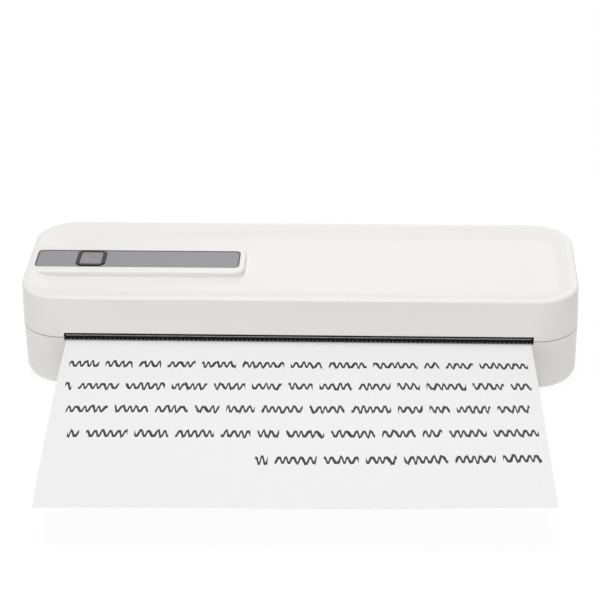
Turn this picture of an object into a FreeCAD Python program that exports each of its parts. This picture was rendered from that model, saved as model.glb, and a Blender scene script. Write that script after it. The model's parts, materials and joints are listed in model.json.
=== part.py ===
"""A portable printer for A4 rolls: a low white box with a hinged, dished cover.

The paper roll lies in a trough at the back, and its web runs forward under a sprung print head,
over a geared platen roller and out of a slot under a toothed tear bar. Lengths are in millimetres
and angles in degrees: X runs along the box, Y towards its back, Z up from the floor.
"""
import FreeCAD, Part
import math
import os

import Sketcher

SIZES = {
    # Housing
    "end_room": 22.0,
    "front_room": 11.1,
    "corner_radius": 19.2,
    "parting_rise": 1.6,
    "parting_gap": 0.3,
    "cover_room": 1.7,
    "wall": 2.0,
    "cover_draft": 1.57,
    "base_draft": 0.4,
    "bottom_round": 5.0,
    "inside_bevel": 1.8,
    "rim_round": 1.1,
    "overrun": 1.0,
    # Dish in the cover
    "rim_width": 3.1,
    "dish_depth": 3.0,
    "dish_slope": 68.0,
    "dish_round": 16.0,
    # Raised border round the control panel
    "border_width": 4.2,
    "border_end_width": 2.6,
    "border_corner": 5.0,
    "border_round": 1.0,
    "border_hollow_side": 2.2,
    # Control panel
    "panel_length": 94.9,
    "panel_depth": 16.8,
    "panel_end_offset": 3.9,
    "panel_corner": 2.4,
    "panel_recess": 0.9,
    "panel_thickness": 0.8,
    "seat_gap": 0.1,
    # Power button
    "button_offset": 29.6,
    "bezel_length": 13.4,
    "bezel_depth": 15.0,
    "bezel_chamfer": 2.2,
    "bezel_rim": 1.5,
    "bezel_proud": 0.45,
    "cap_clearance": 0.2,
    "cap_proud": 0.2,
    "cap_flange": 0.9,
    "cap_flange_thickness": 1.0,
    "cap_stem_side": 4.0,
    "cap_stem_reach": 0.7,
    "cap_dimple_radius": 2.6,
    "cap_dimple_depth": 0.3,
    "button_travel": 0.6,
    "switch_side": 6.0,
    "switch_height": 3.4,
    "plunger_radius": 1.7,
    "plunger_proud": 1.0,
    "plunger_depth": 1.0,
    "switch_board_length": 34.0,
    "switch_board_depth": 10.0,
    "switch_post_inset": 3.0,
    "board_thickness": 1.2,
    "running_gap": 0.3,
    "fit_gap": 0.05,
    # Cover hinge
    "barrel_radius": 2.6,
    "barrel_inset": 10.0,
    "knuckle_inset": 47.0,
    "knuckle_width": 12.0,
    "knuckle_neck": 1.0,
    "knuckle_foot": 9.0,
    "hinge_pin_radius": 1.0,
    "hinge_pin_length": 20.0,
    # Paper slot and tear bar
    "slot_side_gap": 1.0,
    "slot_rise": 2.3,
    "tooth_pitch": 2.0,
    "tooth_depth": 0.8,
    "blade_clearance": 0.4,
    "blade_setback": 0.1,
    "blade_side_gap": 0.3,
    "blade_flange": 1.0,
    "blade_flange_rise": 4.4,
    "blade_wall_gap": 0.3,
    # Paper
    "paper_width": 210.0,
    "paper_thickness": 0.2,
    "paper_reach": 123.9,
    "paper_level_run": 47.0,
    "paper_droop_radius": 1180.0,
    "roll_radius": 15.0,
    "roll_wrap": 20.0,
    "core_radius": 6.35,
    "core_wall": 0.8,
    "paper_gap": 0.2,
    "lip_gap": 0.3,
    # Platen
    "platen_radius": 6.0,
    "platen_side_room": 2.5,
    "platen_wrap": 12.0,
    "platen_shaft_radius": 2.5,
    "shaft_overhang": 2.2,
    "clip_thickness": 0.6,
    "clip_radius": 4.0,
    "clip_groove_depth": 0.6,
    "bushing_radius": 4.0,
    "bushing_flange": 5.2,
    "bushing_flange_thickness": 0.8,
    "bushing_inset": 0.3,
    # Paper roll bin
    "bin_clearance": 0.4,
    "bin_wall": 1.5,
    "bin_floor_gap": 0.3,
    "bin_back_gap": 0.3,
    "bin_back_drop": 3.5,
    "bin_end_gap": 0.3,
    "bin_end_rise": 13.8,
    "bin_end_slope": 4.0,
    "deck_front": 8.5,
    "deck_front_drop": 2.5,
    "deck_back_drop": 0.4,
    "deck_thickness": 1.2,
    "ear_reach": 9.0,
    "ear_height": 9.0,
    "ear_thickness": 1.5,
    "ear_boss_half": 3.2,
    "ear_boss_front": 10.3,
    "ear_boss_back": 7.7,
    "ear_boss_inset": 3.5,
    "sensor_back": 13.0,
    "sensor_side": 4.0,
    "sensor_height": 1.0,
    # Print head
    "head_gap": 0.15,
    "web_run": 8.0,
    "web_bend": 5.0,
    "head_front": 4.0,
    "head_side_room": 3.2,
    "ceramic_thickness": 1.0,
    "sink_height": 7.25,
    "sink_groove": 2.4,
    "sink_groove_depth": 3.2,
    "sink_end": 9.0,
    "driver_clearance": 0.3,
    "pivot_back": 16.0,
    "pivot_rise": 5.25,
    "pivot_radius": 1.5,
    "pivot_boss": 3.0,
    "head_lift": 5.0,
    # Head release lever
    "lever_back": 4.0,
    "lever_rise": 2.05,
    "lever_eccentric": 1.0,
    "cam_radius": 2.5,
    "lift_pin_radius": 1.2,
    "lift_pin_gap": 0.3,
    "lift_pin_depth": 6.0,
    "cam_width": 1.5,
    "lever_thickness": 1.5,
    "lever_hub_radius": 2.4,
    "lever_arm": 10.0,
    "lever_arm_height": 3.0,
    "lever_gap": 1.2,
    "lever_tab": 2.2,
    "lever_tab_thickness": 2.5,
    "lever_stud_radius": 1.25,
    # Print unit frame
    "plate_side_room": 3.6,
    "plate_thickness": 1.2,
    "plate_front": 5.0,
    "plate_back": 32.0,
    "plate_low": 7.0,
    "plate_shoulder": 22.0,
    "plate_top_back": 20.0,
    "plate_rise": 0.4,
    "plate_tab": 6.2,
    "plate_tab_depth": 7.0,
    "plate_post": 5.2,
    "beam_front": 3.5,
    "beam_back": 13.0,
    "beam_height": 3.8,
    "spring_room": 3.2,
    "spring_thickness": 0.4,
    "spring_root": 4.0,
    "spring_finger": 12.0,
    "spring_half_length": 64.0,
    "spring_tip_height": 0.3,
    # Gears and motor
    "platen_gear_radius": 6.0,
    "platen_teeth": 24,
    "idler_small_teeth": 14,
    "idler_large_teeth": 36,
    "pinion_teeth": 12,
    "pressure_angle": 20.0,
    "backlash": 0.12,
    "gear_width": 2.8,
    "gear_layer_gap": 0.4,
    "gear_plate_gap": 1.0,
    "idler_angle": 10.4,
    "motor_angle": 43.8,
    "motor_floor_gap": 0.36,
    "motor_room": 2.145,
    "motor_radius": 9.25,
    "motor_length": 31.0,
    "motor_pilot_radius": 5.0,
    "motor_shaft_radius": 1.25,
    "motor_shaft_depth": 8.0,
    "motor_ear_radius": 2.2,
    "motor_ear_offset": 11.5,
    "motor_flange": 1.2,
    "stud_radius": 1.5,
    # Battery, boards and socket
    "cell_radius": 9.15,
    "cell_length": 65.0,
    "cell_gap": 0.5,
    "cell_room": 1.85,
    "cell_floor_gap": 0.65,
    "cell_cap_radius": 3.0,
    "cell_cap_height": 1.0,
    "cradle_width": 3.0,
    "cradle_clearance": 0.3,
    "cradle_inset": 10.0,
    "main_board_length": 168.0,
    "main_board_inset": 5.0,
    "main_board_depth": 14.0,
    "main_board_front_gap": 1.6,
    "main_board_height": 5.0,
    "board_post": 4.0,
    "board_post_inset": 5.0,
    "chip_depth": 8.0,
    "chip_height": 4.0,
    "socket_y": 10.0,
    "socket_width": 8.94,
    "socket_height": 3.2,
    "socket_length": 7.3,
    "socket_wall": 0.3,
    "socket_setback": 0.4,
    "socket_gap": 0.3,
    "socket_tongue": 0.7,
    "socket_board_height": 13.0,
    "socket_board_length": 14.0,
    "socket_board_depth": 20.0,
    "socket_board_gap": 0.5,
    "socket_post_inset": 4.5,
    "lens_offset": 7.5,
    "lens_radius": 1.0,
    "lens_length": 3.0,
    # Closing magnets
    "magnet_inset": 5.0,
    "magnet_y": -14.0,
    "magnet_side": 5.0,
    "magnet_thickness": 2.0,
    "magnet_post": 6.6,
    # Feet and base screws
    "foot_height": 1.0,
    "foot_radius": 5.0,
    "foot_end_inset": 27.0,
    "foot_side_inset": 12.1,
    "base_screw_head": 2.4,
    "base_screw_sink": 1.2,
}

TOUCH = 1e-4
FULL_TURN = 360
SPRING_FINGERS = 4
SINK_GROOVES = 3
ROUND_END_SHARE = 0.98
CHIP_SHARES = ((0.10, 0.05, 0.4), (0.22, 0.07, 0.3), (0.36, 0.04, 1.0), (0.47, 0.04, 1.0),
               (0.62, 0.08, 0.35), (0.78, 0.06, 0.8), (0.90, 0.07, 0.8))

doc = FreeCAD.newDocument("printer")
sheet = doc.addObject("Spreadsheet::Sheet", "sizes")
places = doc.addObject("App::VarSet", "places")
made = {}


class Size:
    """A length or angle that knows its value and the expression behind it."""

    def __init__(self, text, value):
        self.text = text
        self.value = float(value)

    def __float__(self):
        return self.value

    def __add__(self, other):
        other = as_size(other)
        return Size(f"({self.text} + {other.text})", self.value + other.value)

    def __sub__(self, other):
        other = as_size(other)
        return Size(f"({self.text} - {other.text})", self.value - other.value)

    def __mul__(self, other):
        other = as_size(other)
        return Size(f"({self.text} * {other.text})", self.value * other.value)

    def __truediv__(self, other):
        other = as_size(other)
        return Size(f"({self.text} / {other.text})", self.value / other.value)

    def __rmul__(self, other):
        return as_size(other) * self

    def __neg__(self):
        return Size(f"(0 - {self.text})", -self.value)


def as_size(value):
    """A Size as it is, or a plain share or count as one."""
    if isinstance(value, Size):
        return value
    return Size(repr(float(value)), value)


ZERO = Size("0", 0)


def root_of(size):
    """The square root of a Size."""
    return Size(f"sqrt({size.text})", math.sqrt(size.value))


def sine(angle):
    """The sine of an angle in degrees."""
    return Size(f"sin({angle.text})", math.sin(math.radians(angle.value)))


def cosine(angle):
    """The cosine of an angle in degrees."""
    return Size(f"cos({angle.text})", math.cos(math.radians(angle.value)))


def place(name, size):
    """Keeps a worked-out size under its own name and returns it."""
    places.addProperty("App::PropertyFloat", name)
    places.setExpression(name, size.text)
    return Size(f"places.{name}", size.value)


class Sheet:
    """Every driving size, by name."""


s = Sheet()
for row, (size_name, size_value) in enumerate(SIZES.items(), start=1):
    sheet.set(f"A{row}", size_name)
    sheet.set(f"B{row}", str(size_value))
    sheet.setAlias(f"B{row}", size_name)
    setattr(s, size_name, Size(f"sizes.{size_name}", size_value))
doc.recompute()


# Solids by their limits

def block(name, x, y, z):
    """A box between two limits along each axis."""
    box = doc.addObject("Part::Box", name)
    for length, axis, (low, high) in (("Length", "x", x), ("Width", "y", y), ("Height", "z", z)):
        box.setExpression(length, (high - low).text)
        box.setExpression(f"Placement.Base.{axis}", low.text)
    return box


ALONG = {
    "x": FreeCAD.Rotation(FreeCAD.Vector(0, 1, 0), 90),
    "y": FreeCAD.Rotation(FreeCAD.Vector(1, 0, 0), -90),
    "z": FreeCAD.Rotation(),
}


def move_to(item, x, y, z):
    """Ties an object's place to three sizes."""
    for axis, size in (("x", x), ("y", y), ("z", z)):
        item.setExpression(f"Placement.Base.{axis}", size.text)


def rod(name, axis, centre, span, radius):
    """A round bar along one axis: its centre in the two others, its limits and its radius."""
    bar = doc.addObject("Part::Cylinder", name)
    bar.Placement = FreeCAD.Placement(FreeCAD.Vector(0, 0, 0), ALONG[axis])
    bar.setExpression("Radius", radius.text)
    bar.setExpression("Height", (span[1] - span[0]).text)
    start = list(centre)
    start.insert("xyz".index(axis), span[0])
    move_to(bar, *start)
    return bar


def post(name, centre, half, z):
    """An upright square post, by its centre and half its side."""
    x, y = centre
    return block(name, (x - half, x + half), (y - half, y + half), z)


def both_ends(span):
    """The same limits on the left half of the printer."""
    return (-span[1], -span[0])


# Outlines of lines and arcs

def rounded(x, y, radius):
    """Corners of a rectangle with equal round corners, each arc marked with its radius."""
    (x0, x1), (y0, y1) = x, y
    return [
        (x0 + radius, y0, None), (x1 - radius, y0, radius),
        (x1, y0 + radius, None), (x1, y1 - radius, radius),
        (x1 - radius, y1, None), (x0 + radius, y1, radius),
        (x0, y1 - radius, None), (x0, y0 + radius, radius),
    ]


def arc_between(start, end, radius):
    """A short arc from start to end; a positive radius turns it to the left."""
    middle = (start + end) / 2
    chord = end - start
    half = chord.Length / 2
    rise = math.sqrt(max(radius * radius - half * half, 0))
    normal = FreeCAD.Vector(-chord.y, chord.x, 0).normalize()
    side = 1 if radius > 0 else -1
    centre = middle + normal * rise * side
    circle = Part.Circle(centre, FreeCAD.Vector(0, 0, 1), abs(radius))
    first, last = circle.parameter(start), circle.parameter(end)
    if side > 0:
        return Part.ArcOfCircle(circle, first, last)
    return Part.ArcOfCircle(circle, last, first)


def pin_point(sketch, item, point, x, y):
    """Ties a point of the sketch to two sizes, measured from its origin."""
    for kind, size in (("DistanceX", x), ("DistanceY", y)):
        index = sketch.addConstraint(Sketcher.Constraint(kind, -1, 1, item, point, float(size)))
        sketch.setExpression(f"Constraints[{index}]", size.text)


def draw(sketch, corners):
    """Draws a closed outline. A corner is (x, y, None) before a line and (x, y, radius) before an arc."""
    points = [FreeCAD.Vector(float(x), float(y), 0) for x, y, radius in corners]
    for index, (x, y, radius) in enumerate(corners):
        start = points[index]
        end = points[(index + 1) % len(points)]
        if radius is None:
            item = sketch.addGeometry(Part.LineSegment(start, end))
            first, last = 1, 2
        else:
            item = sketch.addGeometry(arc_between(start, end, float(radius)))
            first, last = (1, 2) if float(radius) > 0 else (2, 1)
            size = radius if float(radius) > 0 else -radius
            rule = sketch.addConstraint(Sketcher.Constraint("Radius", item, float(size)))
            sketch.setExpression(f"Constraints[{rule}]", size.text)
        pin_point(sketch, item, first, x, y)
        following = corners[(index + 1) % len(corners)]
        pin_point(sketch, item, last, following[0], following[1])


def ring(sketch, x, y, radius):
    """Draws a full circle."""
    centre = FreeCAD.Vector(float(x), float(y), 0)
    item = sketch.addGeometry(Part.Circle(centre, FreeCAD.Vector(0, 0, 1), float(radius)))
    rule = sketch.addConstraint(Sketcher.Constraint("Radius", item, float(radius)))
    sketch.setExpression(f"Constraints[{rule}]", radius.text)
    pin_point(sketch, item, 3, x, y)


def new_sketch(body, name, plane, offset):
    """A sketch on one of the body's own planes, moved along that plane's normal."""
    sketch = body.newObject("Sketcher::SketchObject", name)
    base = [item for item in body.Origin.OriginFeatures if item.Role == f"{plane}_Plane"][0]
    sketch.AttachmentSupport = [(base, "")]
    sketch.MapMode = "FlatFace"
    sketch.setExpression("AttachmentOffset.Base.z", offset.text)
    return sketch


def pad(body, sketch, length, draft=None, down=False):
    """Adds a prism on a sketch; a draft narrows it away from the sketch."""
    feature = body.newObject("PartDesign::Pad", sketch.Name + "_pad")
    feature.Profile = sketch
    feature.Reversed = down
    feature.setExpression("Length", length.text)
    if draft is not None:
        feature.setExpression("TaperAngle", (-draft).text)
    return feature


def pocket(body, sketch, length, draft=None, up=False):
    """Cuts a prism into the body; a draft narrows it away from the sketch."""
    feature = body.newObject("PartDesign::Pocket", sketch.Name + "_pocket")
    feature.Profile = sketch
    feature.Reversed = up
    feature.setExpression("Length", length.text)
    if draft is not None:
        feature.setExpression("TaperAngle", (-draft).text)
    before = body.Tip
    body.Tip = feature
    doc.recompute()
    if not feature.Shape.Volume < feature.BaseFeature.Shape.Volume:
        raise ValueError(f"{feature.Name} cuts nothing from {before.Name}")
    return feature


def dress_edges(body, kind, name, setting, size, wanted):
    """Adds a fillet or chamfer on the edges of the body's last shape that a test picks."""
    doc.recompute()
    base = body.Tip
    names = [f"Edge{i}" for i, edge in enumerate(base.Shape.Edges, start=1) if wanted(edge)]
    feature = body.newObject(f"PartDesign::{kind}", name)
    feature.Base = (base, names)
    feature.setExpression(setting, size.text)
    body.Tip = feature
    return feature


def round_edges(body, name, radius, wanted):
    """Rounds the edges that a test picks."""
    return dress_edges(body, "Fillet", name, "Radius", radius, wanted)


def bevel_edges(body, name, size, wanted):
    """Bevels the edges that a test picks."""
    return dress_edges(body, "Chamfer", name, "Size", size, wanted)


def lies_at(edge, height):
    """Whether both ends of an edge are at one height."""
    return all(abs(vertex.Z - float(height)) < TOUCH for vertex in edge.Vertexes)


def lies_inside(edge, half_x, half_y):
    """Whether both ends of an edge are within a middle area."""
    return all(abs(vertex.X) < float(half_x) + TOUCH and abs(vertex.Y) < float(half_y) + TOUCH
               for vertex in edge.Vertexes)


def prism(name, plane, corners, span, holes=()):
    """A body with one outline pulled along the normal of its plane, with round holes through it."""
    body = doc.addObject("PartDesign::Body", name)
    start = -span[1] if plane == "XZ" else span[0]
    sketch = new_sketch(body, name + "_outline", plane, start)
    draw(sketch, corners)
    for x, y, radius in holes:
        ring(sketch, x, y, radius)
    pad(body, sketch, span[1] - span[0])
    return body


def polygon(*points):
    """An outline of straight lines."""
    return [(x, y, None) for x, y in points]


# Joining and cutting

def joined(name, items):
    """One solid from several."""
    if len(items) == 1:
        return items[0]
    union = doc.addObject("Part::MultiFuse", name)
    union.Shapes = items
    union.Refine = True
    return union


def carved(name, base, tools):
    """A solid with tools cut away."""
    result = doc.addObject("Part::Cut", name)
    result.Base = base
    result.Tool = joined(name + "_tools", tools)
    result.Refine = True
    return result


def group(name, items):
    """Separate solids that share one node."""
    compound = doc.addObject("Part::Compound", name)
    compound.Links = items
    return compound


def keep(name, item):
    """Marks a finished sub-part: its label names its file."""
    item.Label = name
    made[name] = item
    return item


# Shared places

floor = s.foot_height
floor_top = floor + s.wall
post_low = floor + s.wall / 2
paper_half = s.paper_width / 2
half_length = paper_half + s.end_room
slot_half = paper_half + s.slot_side_gap
platen_half = paper_half + s.platen_side_room
head_half = paper_half + s.head_side_room
plate_inside = paper_half + s.plate_side_room
plate_outside = plate_inside + s.plate_thickness
plate_post_x = plate_outside + s.plate_tab / 2

gear_module = place("gear_module", s.platen_gear_radius * 2 / s.platen_teeth)
idler_reach = place("idler_reach", gear_module * (s.platen_teeth + s.idler_small_teeth) / 2)
motor_reach = place("motor_reach", gear_module * (s.idler_large_teeth + s.pinion_teeth) / 2)
bin_outer = s.roll_radius + s.bin_clearance + s.bin_wall
feed_length = place("feed_length", idler_reach * cosine(s.idler_angle) + motor_reach * cosine(s.motor_angle)
                    + s.motor_radius + s.motor_room + bin_outer)
half_depth = place("half_depth", (s.front_room + feed_length + bin_outer + s.bin_back_gap + s.knuckle_neck
                                  + s.barrel_radius) / 2)
platen_y = place("platen_y", s.front_room - half_depth)
roll_y = place("roll_y", platen_y + feed_length)
roll_z = place("roll_z", floor_top + s.bin_floor_gap + bin_outer)
idler_y = place("idler_y", platen_y + idler_reach * cosine(s.idler_angle))
motor_y = place("motor_y", idler_y + motor_reach * cosine(s.motor_angle))
motor_z = place("motor_z", floor_top + s.motor_floor_gap + s.motor_radius)
idler_z = place("idler_z", motor_z + motor_reach * sine(s.motor_angle))
platen_z = place("platen_z", idler_z - idler_reach * sine(s.idler_angle))
idler_centre = (idler_y, idler_z)

paper_height = place("paper_height", platen_z + s.platen_radius + s.paper_gap)
parting_height = paper_height + s.parting_rise
slot_top = parting_height + s.slot_rise
base_top = parting_height - s.parting_gap / 2
cover_low = parting_height + s.parting_gap / 2
hinge_y = half_depth - s.barrel_radius
hinge_z = parting_height
head_low = place("head_low", paper_height + s.paper_thickness + s.head_gap)
sink_top = head_low + s.sink_height
beam_low = sink_top + s.spring_room
beam_top = beam_low + s.beam_height
plate_top = beam_top + s.plate_rise
cover_ceiling = plate_top + s.cover_room
dish_floor = cover_ceiling + s.wall
body_top = place("body_top", dish_floor + s.dish_depth)
cover_lean = (body_top - cover_low) * sine(s.cover_draft) / cosine(s.cover_draft)

head_front_y = platen_y - s.head_front
pivot_y = platen_y + s.pivot_back
pivot_z = head_low + s.pivot_rise
lever_y = platen_y + s.lever_back
lever_z = head_low + s.lever_rise
plate_front_y = platen_y - s.plate_front
plate_back_y = platen_y + s.plate_back
beam_front_y = platen_y - s.beam_front
beam_back_y = platen_y + s.beam_back
deck_front_y = platen_y + s.deck_front
deck_front_height = paper_height - s.deck_front_drop
deck_back_height = paper_height - s.deck_back_drop
sensor_y = platen_y + s.sensor_back
bin_half = plate_inside - s.motor_flange - s.bin_end_gap
ear_boss_x = bin_half + s.ear_reach - s.ear_boss_inset
ear_boss_places = (roll_y - s.ear_boss_front, roll_y + s.ear_boss_back)
cell_start = -paper_half
cell_y = roll_y - bin_outer - s.cell_room - s.cell_radius
cell_z = floor_top + s.cell_floor_gap + s.cell_radius
magnet_x = half_length - s.magnet_inset
knuckle_offset = half_length - s.knuckle_inset
barrel_half = half_length - s.barrel_inset

panel_left = s.panel_end_offset - half_length
panel_right = panel_left + s.panel_length
border_right = panel_right + s.border_end_width
panel_floor = body_top - s.panel_recess
panel_ceiling = panel_floor - s.wall
button_x = place("button_x", s.button_offset - half_length)
cap_half_length = s.bezel_length / 2 - s.bezel_rim - s.cap_clearance
cap_half_depth = s.bezel_depth / 2 - s.bezel_rim - s.cap_clearance
plunger_top = panel_ceiling - s.cap_flange_thickness - s.cap_stem_reach
switch_top = plunger_top - s.plunger_proud
switch_seat = switch_top - s.switch_height
switch_post_offset = s.switch_board_length / 2 - s.switch_post_inset

main_board_start = cell_start + s.main_board_inset
main_board_end = main_board_start + s.main_board_length
main_board_y = s.main_board_depth / 2 + s.main_board_front_gap + s.wall - half_depth
socket_z = s.socket_board_height + s.board_thickness + s.socket_height / 2
socket_post_x = s.wall + s.socket_board_gap + s.socket_post_inset - half_length

lever_inside = plate_outside + s.lever_gap
lever_middle = lever_inside + s.cam_width
lever_outside = lever_middle + s.lever_thickness
lift_reach = s.cam_radius + s.lift_pin_radius + s.lift_pin_gap
lift_pin_z = place("lift_pin_z", lever_z + root_of(lift_reach * lift_reach
                                                   - s.lever_eccentric * s.lever_eccentric))
lift_height = (pivot_y - lever_y) * sine(s.head_lift)
gear_start = plate_outside + s.gear_plate_gap
gear_layer_one = (gear_start, gear_start + s.gear_width)
gear_layer_two = (gear_layer_one[1] + s.gear_layer_gap, gear_layer_one[1] + s.gear_layer_gap + s.gear_width)


def base_shell():
    """The lower moulding: a tapered tray with posts, cradles, hinge knuckles and socket holes."""
    body = doc.addObject("PartDesign::Body", "base_moulding")
    outline = new_sketch(body, "base_outline", "XY", base_top)
    draw(outline, rounded((-half_length, half_length), (-half_depth, half_depth), s.corner_radius))
    pad(body, outline, base_top - floor, s.base_draft, down=True)
    round_edges(body, "base_bottom_round", s.bottom_round,
                lambda edge: lies_at(edge, floor))
    inside = new_sketch(body, "base_inside", "XY", base_top)
    inner_length = half_length - s.wall
    inner_depth = half_depth - s.wall
    draw(inside, rounded((-inner_length, inner_length), (-inner_depth, inner_depth),
                         s.corner_radius - s.wall))
    pocket(body, inside, base_top - floor_top, s.base_draft)
    bevel_edges(body, "base_inside_bevel", s.inside_bevel,
                lambda edge: lies_at(edge, floor_top))

    added = [body]
    removed = []
    for side in (1, -1):
        added += hinge_knuckle(side)
        added.append(post("magnet_post", (side * magnet_x, s.magnet_y), s.magnet_post / 2,
                          (base_top - s.magnet_post, base_top)))
        removed.append(post("magnet_seat", (side * magnet_x, s.magnet_y), s.magnet_side / 2 + s.fit_gap,
                            (base_top - s.magnet_thickness - s.seat_gap, base_top + s.overrun)))
        removed.append(rod("hinge_pin_hole", "x", (hinge_y, hinge_z),
                           pin_span(side, s.hinge_pin_length / 2), s.hinge_pin_radius + s.fit_gap))
        for y in plate_tab_centres():
            added.append(post("plate_post", (side * plate_post_x, y), s.plate_post / 2,
                              (post_low, s.plate_low)))
        for y in ear_boss_places:
            removed.append(rod("base_screw_sink", "z", (side * ear_boss_x, y),
                               (floor - s.overrun, floor + s.base_screw_sink),
                               s.base_screw_head + s.seat_gap))
    for x in cell_ends():
        added.append(block("cell_cradle", (x - s.cradle_width / 2, x + s.cradle_width / 2),
                           (cell_y - s.cell_radius, cell_y + s.cell_radius),
                           (floor, cell_z - s.cell_radius / 2)))
    removed.append(rod("cell_trough", "x", (cell_y, cell_z),
                       (cell_ends()[0] - s.cradle_width, cell_ends()[-1] + s.cradle_width),
                       s.cell_radius + s.cradle_clearance))
    for x in main_board_posts():
        added.append(post("board_post", (x, main_board_y), s.board_post / 2,
                          (post_low, s.main_board_height)))
    for y in socket_board_posts():
        added.append(post("socket_post", (socket_post_x, y), s.board_post / 2,
                          (post_low, s.socket_board_height)))
    removed.append(block("lower_slot", (-slot_half, slot_half),
                         (-half_depth - s.overrun, s.wall + s.overrun - half_depth),
                         (paper_height - s.lip_gap, base_top + s.overrun)))
    solid = carved("base_open", joined("base_with_posts", added), removed)
    relief = carved("hinge_relief", block("relief_block", (-barrel_half - s.overrun, barrel_half + s.overrun),
                                          (hinge_y - s.barrel_radius - s.running_gap, half_depth + s.overrun),
                                          (hinge_z - s.barrel_radius - s.running_gap,
                                           base_top + s.barrel_radius + s.overrun)),
                    [item for side in (1, -1) for item in hinge_knuckle(side)])
    wall_span = (-half_length - s.overrun, s.wall + s.overrun - half_length)
    half_socket = s.socket_height / 2
    port = prism("socket_window", "YZ",
                 rounded((s.socket_y - s.socket_width / 2 - s.socket_gap,
                          s.socket_y + s.socket_width / 2 + s.socket_gap),
                         (socket_z - half_socket - s.socket_gap, socket_z + half_socket + s.socket_gap),
                         half_socket), wall_span)
    lens = rod("lens_hole", "x", (s.socket_y + s.lens_offset, socket_z), wall_span,
               s.lens_radius + s.fit_gap)
    return carved("base_shell", solid, [relief, port, lens])


def hinge_knuckle(side):
    """One standing knuckle: a round eye on a neck that grows from the rear wall."""
    span = pin_span(side, s.knuckle_width / 2)
    eye = rod("knuckle_eye", "x", (hinge_y, hinge_z), span, s.barrel_radius)
    neck = block("knuckle_neck", span, (hinge_y - s.knuckle_neck, hinge_y + s.knuckle_neck),
                 (hinge_z - s.knuckle_foot, hinge_z))
    return [eye, neck]


def pin_span(side, half):
    """Limits along X of something centred on a hinge knuckle."""
    centre = side * knuckle_offset
    return (centre - half, centre + half)


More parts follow.
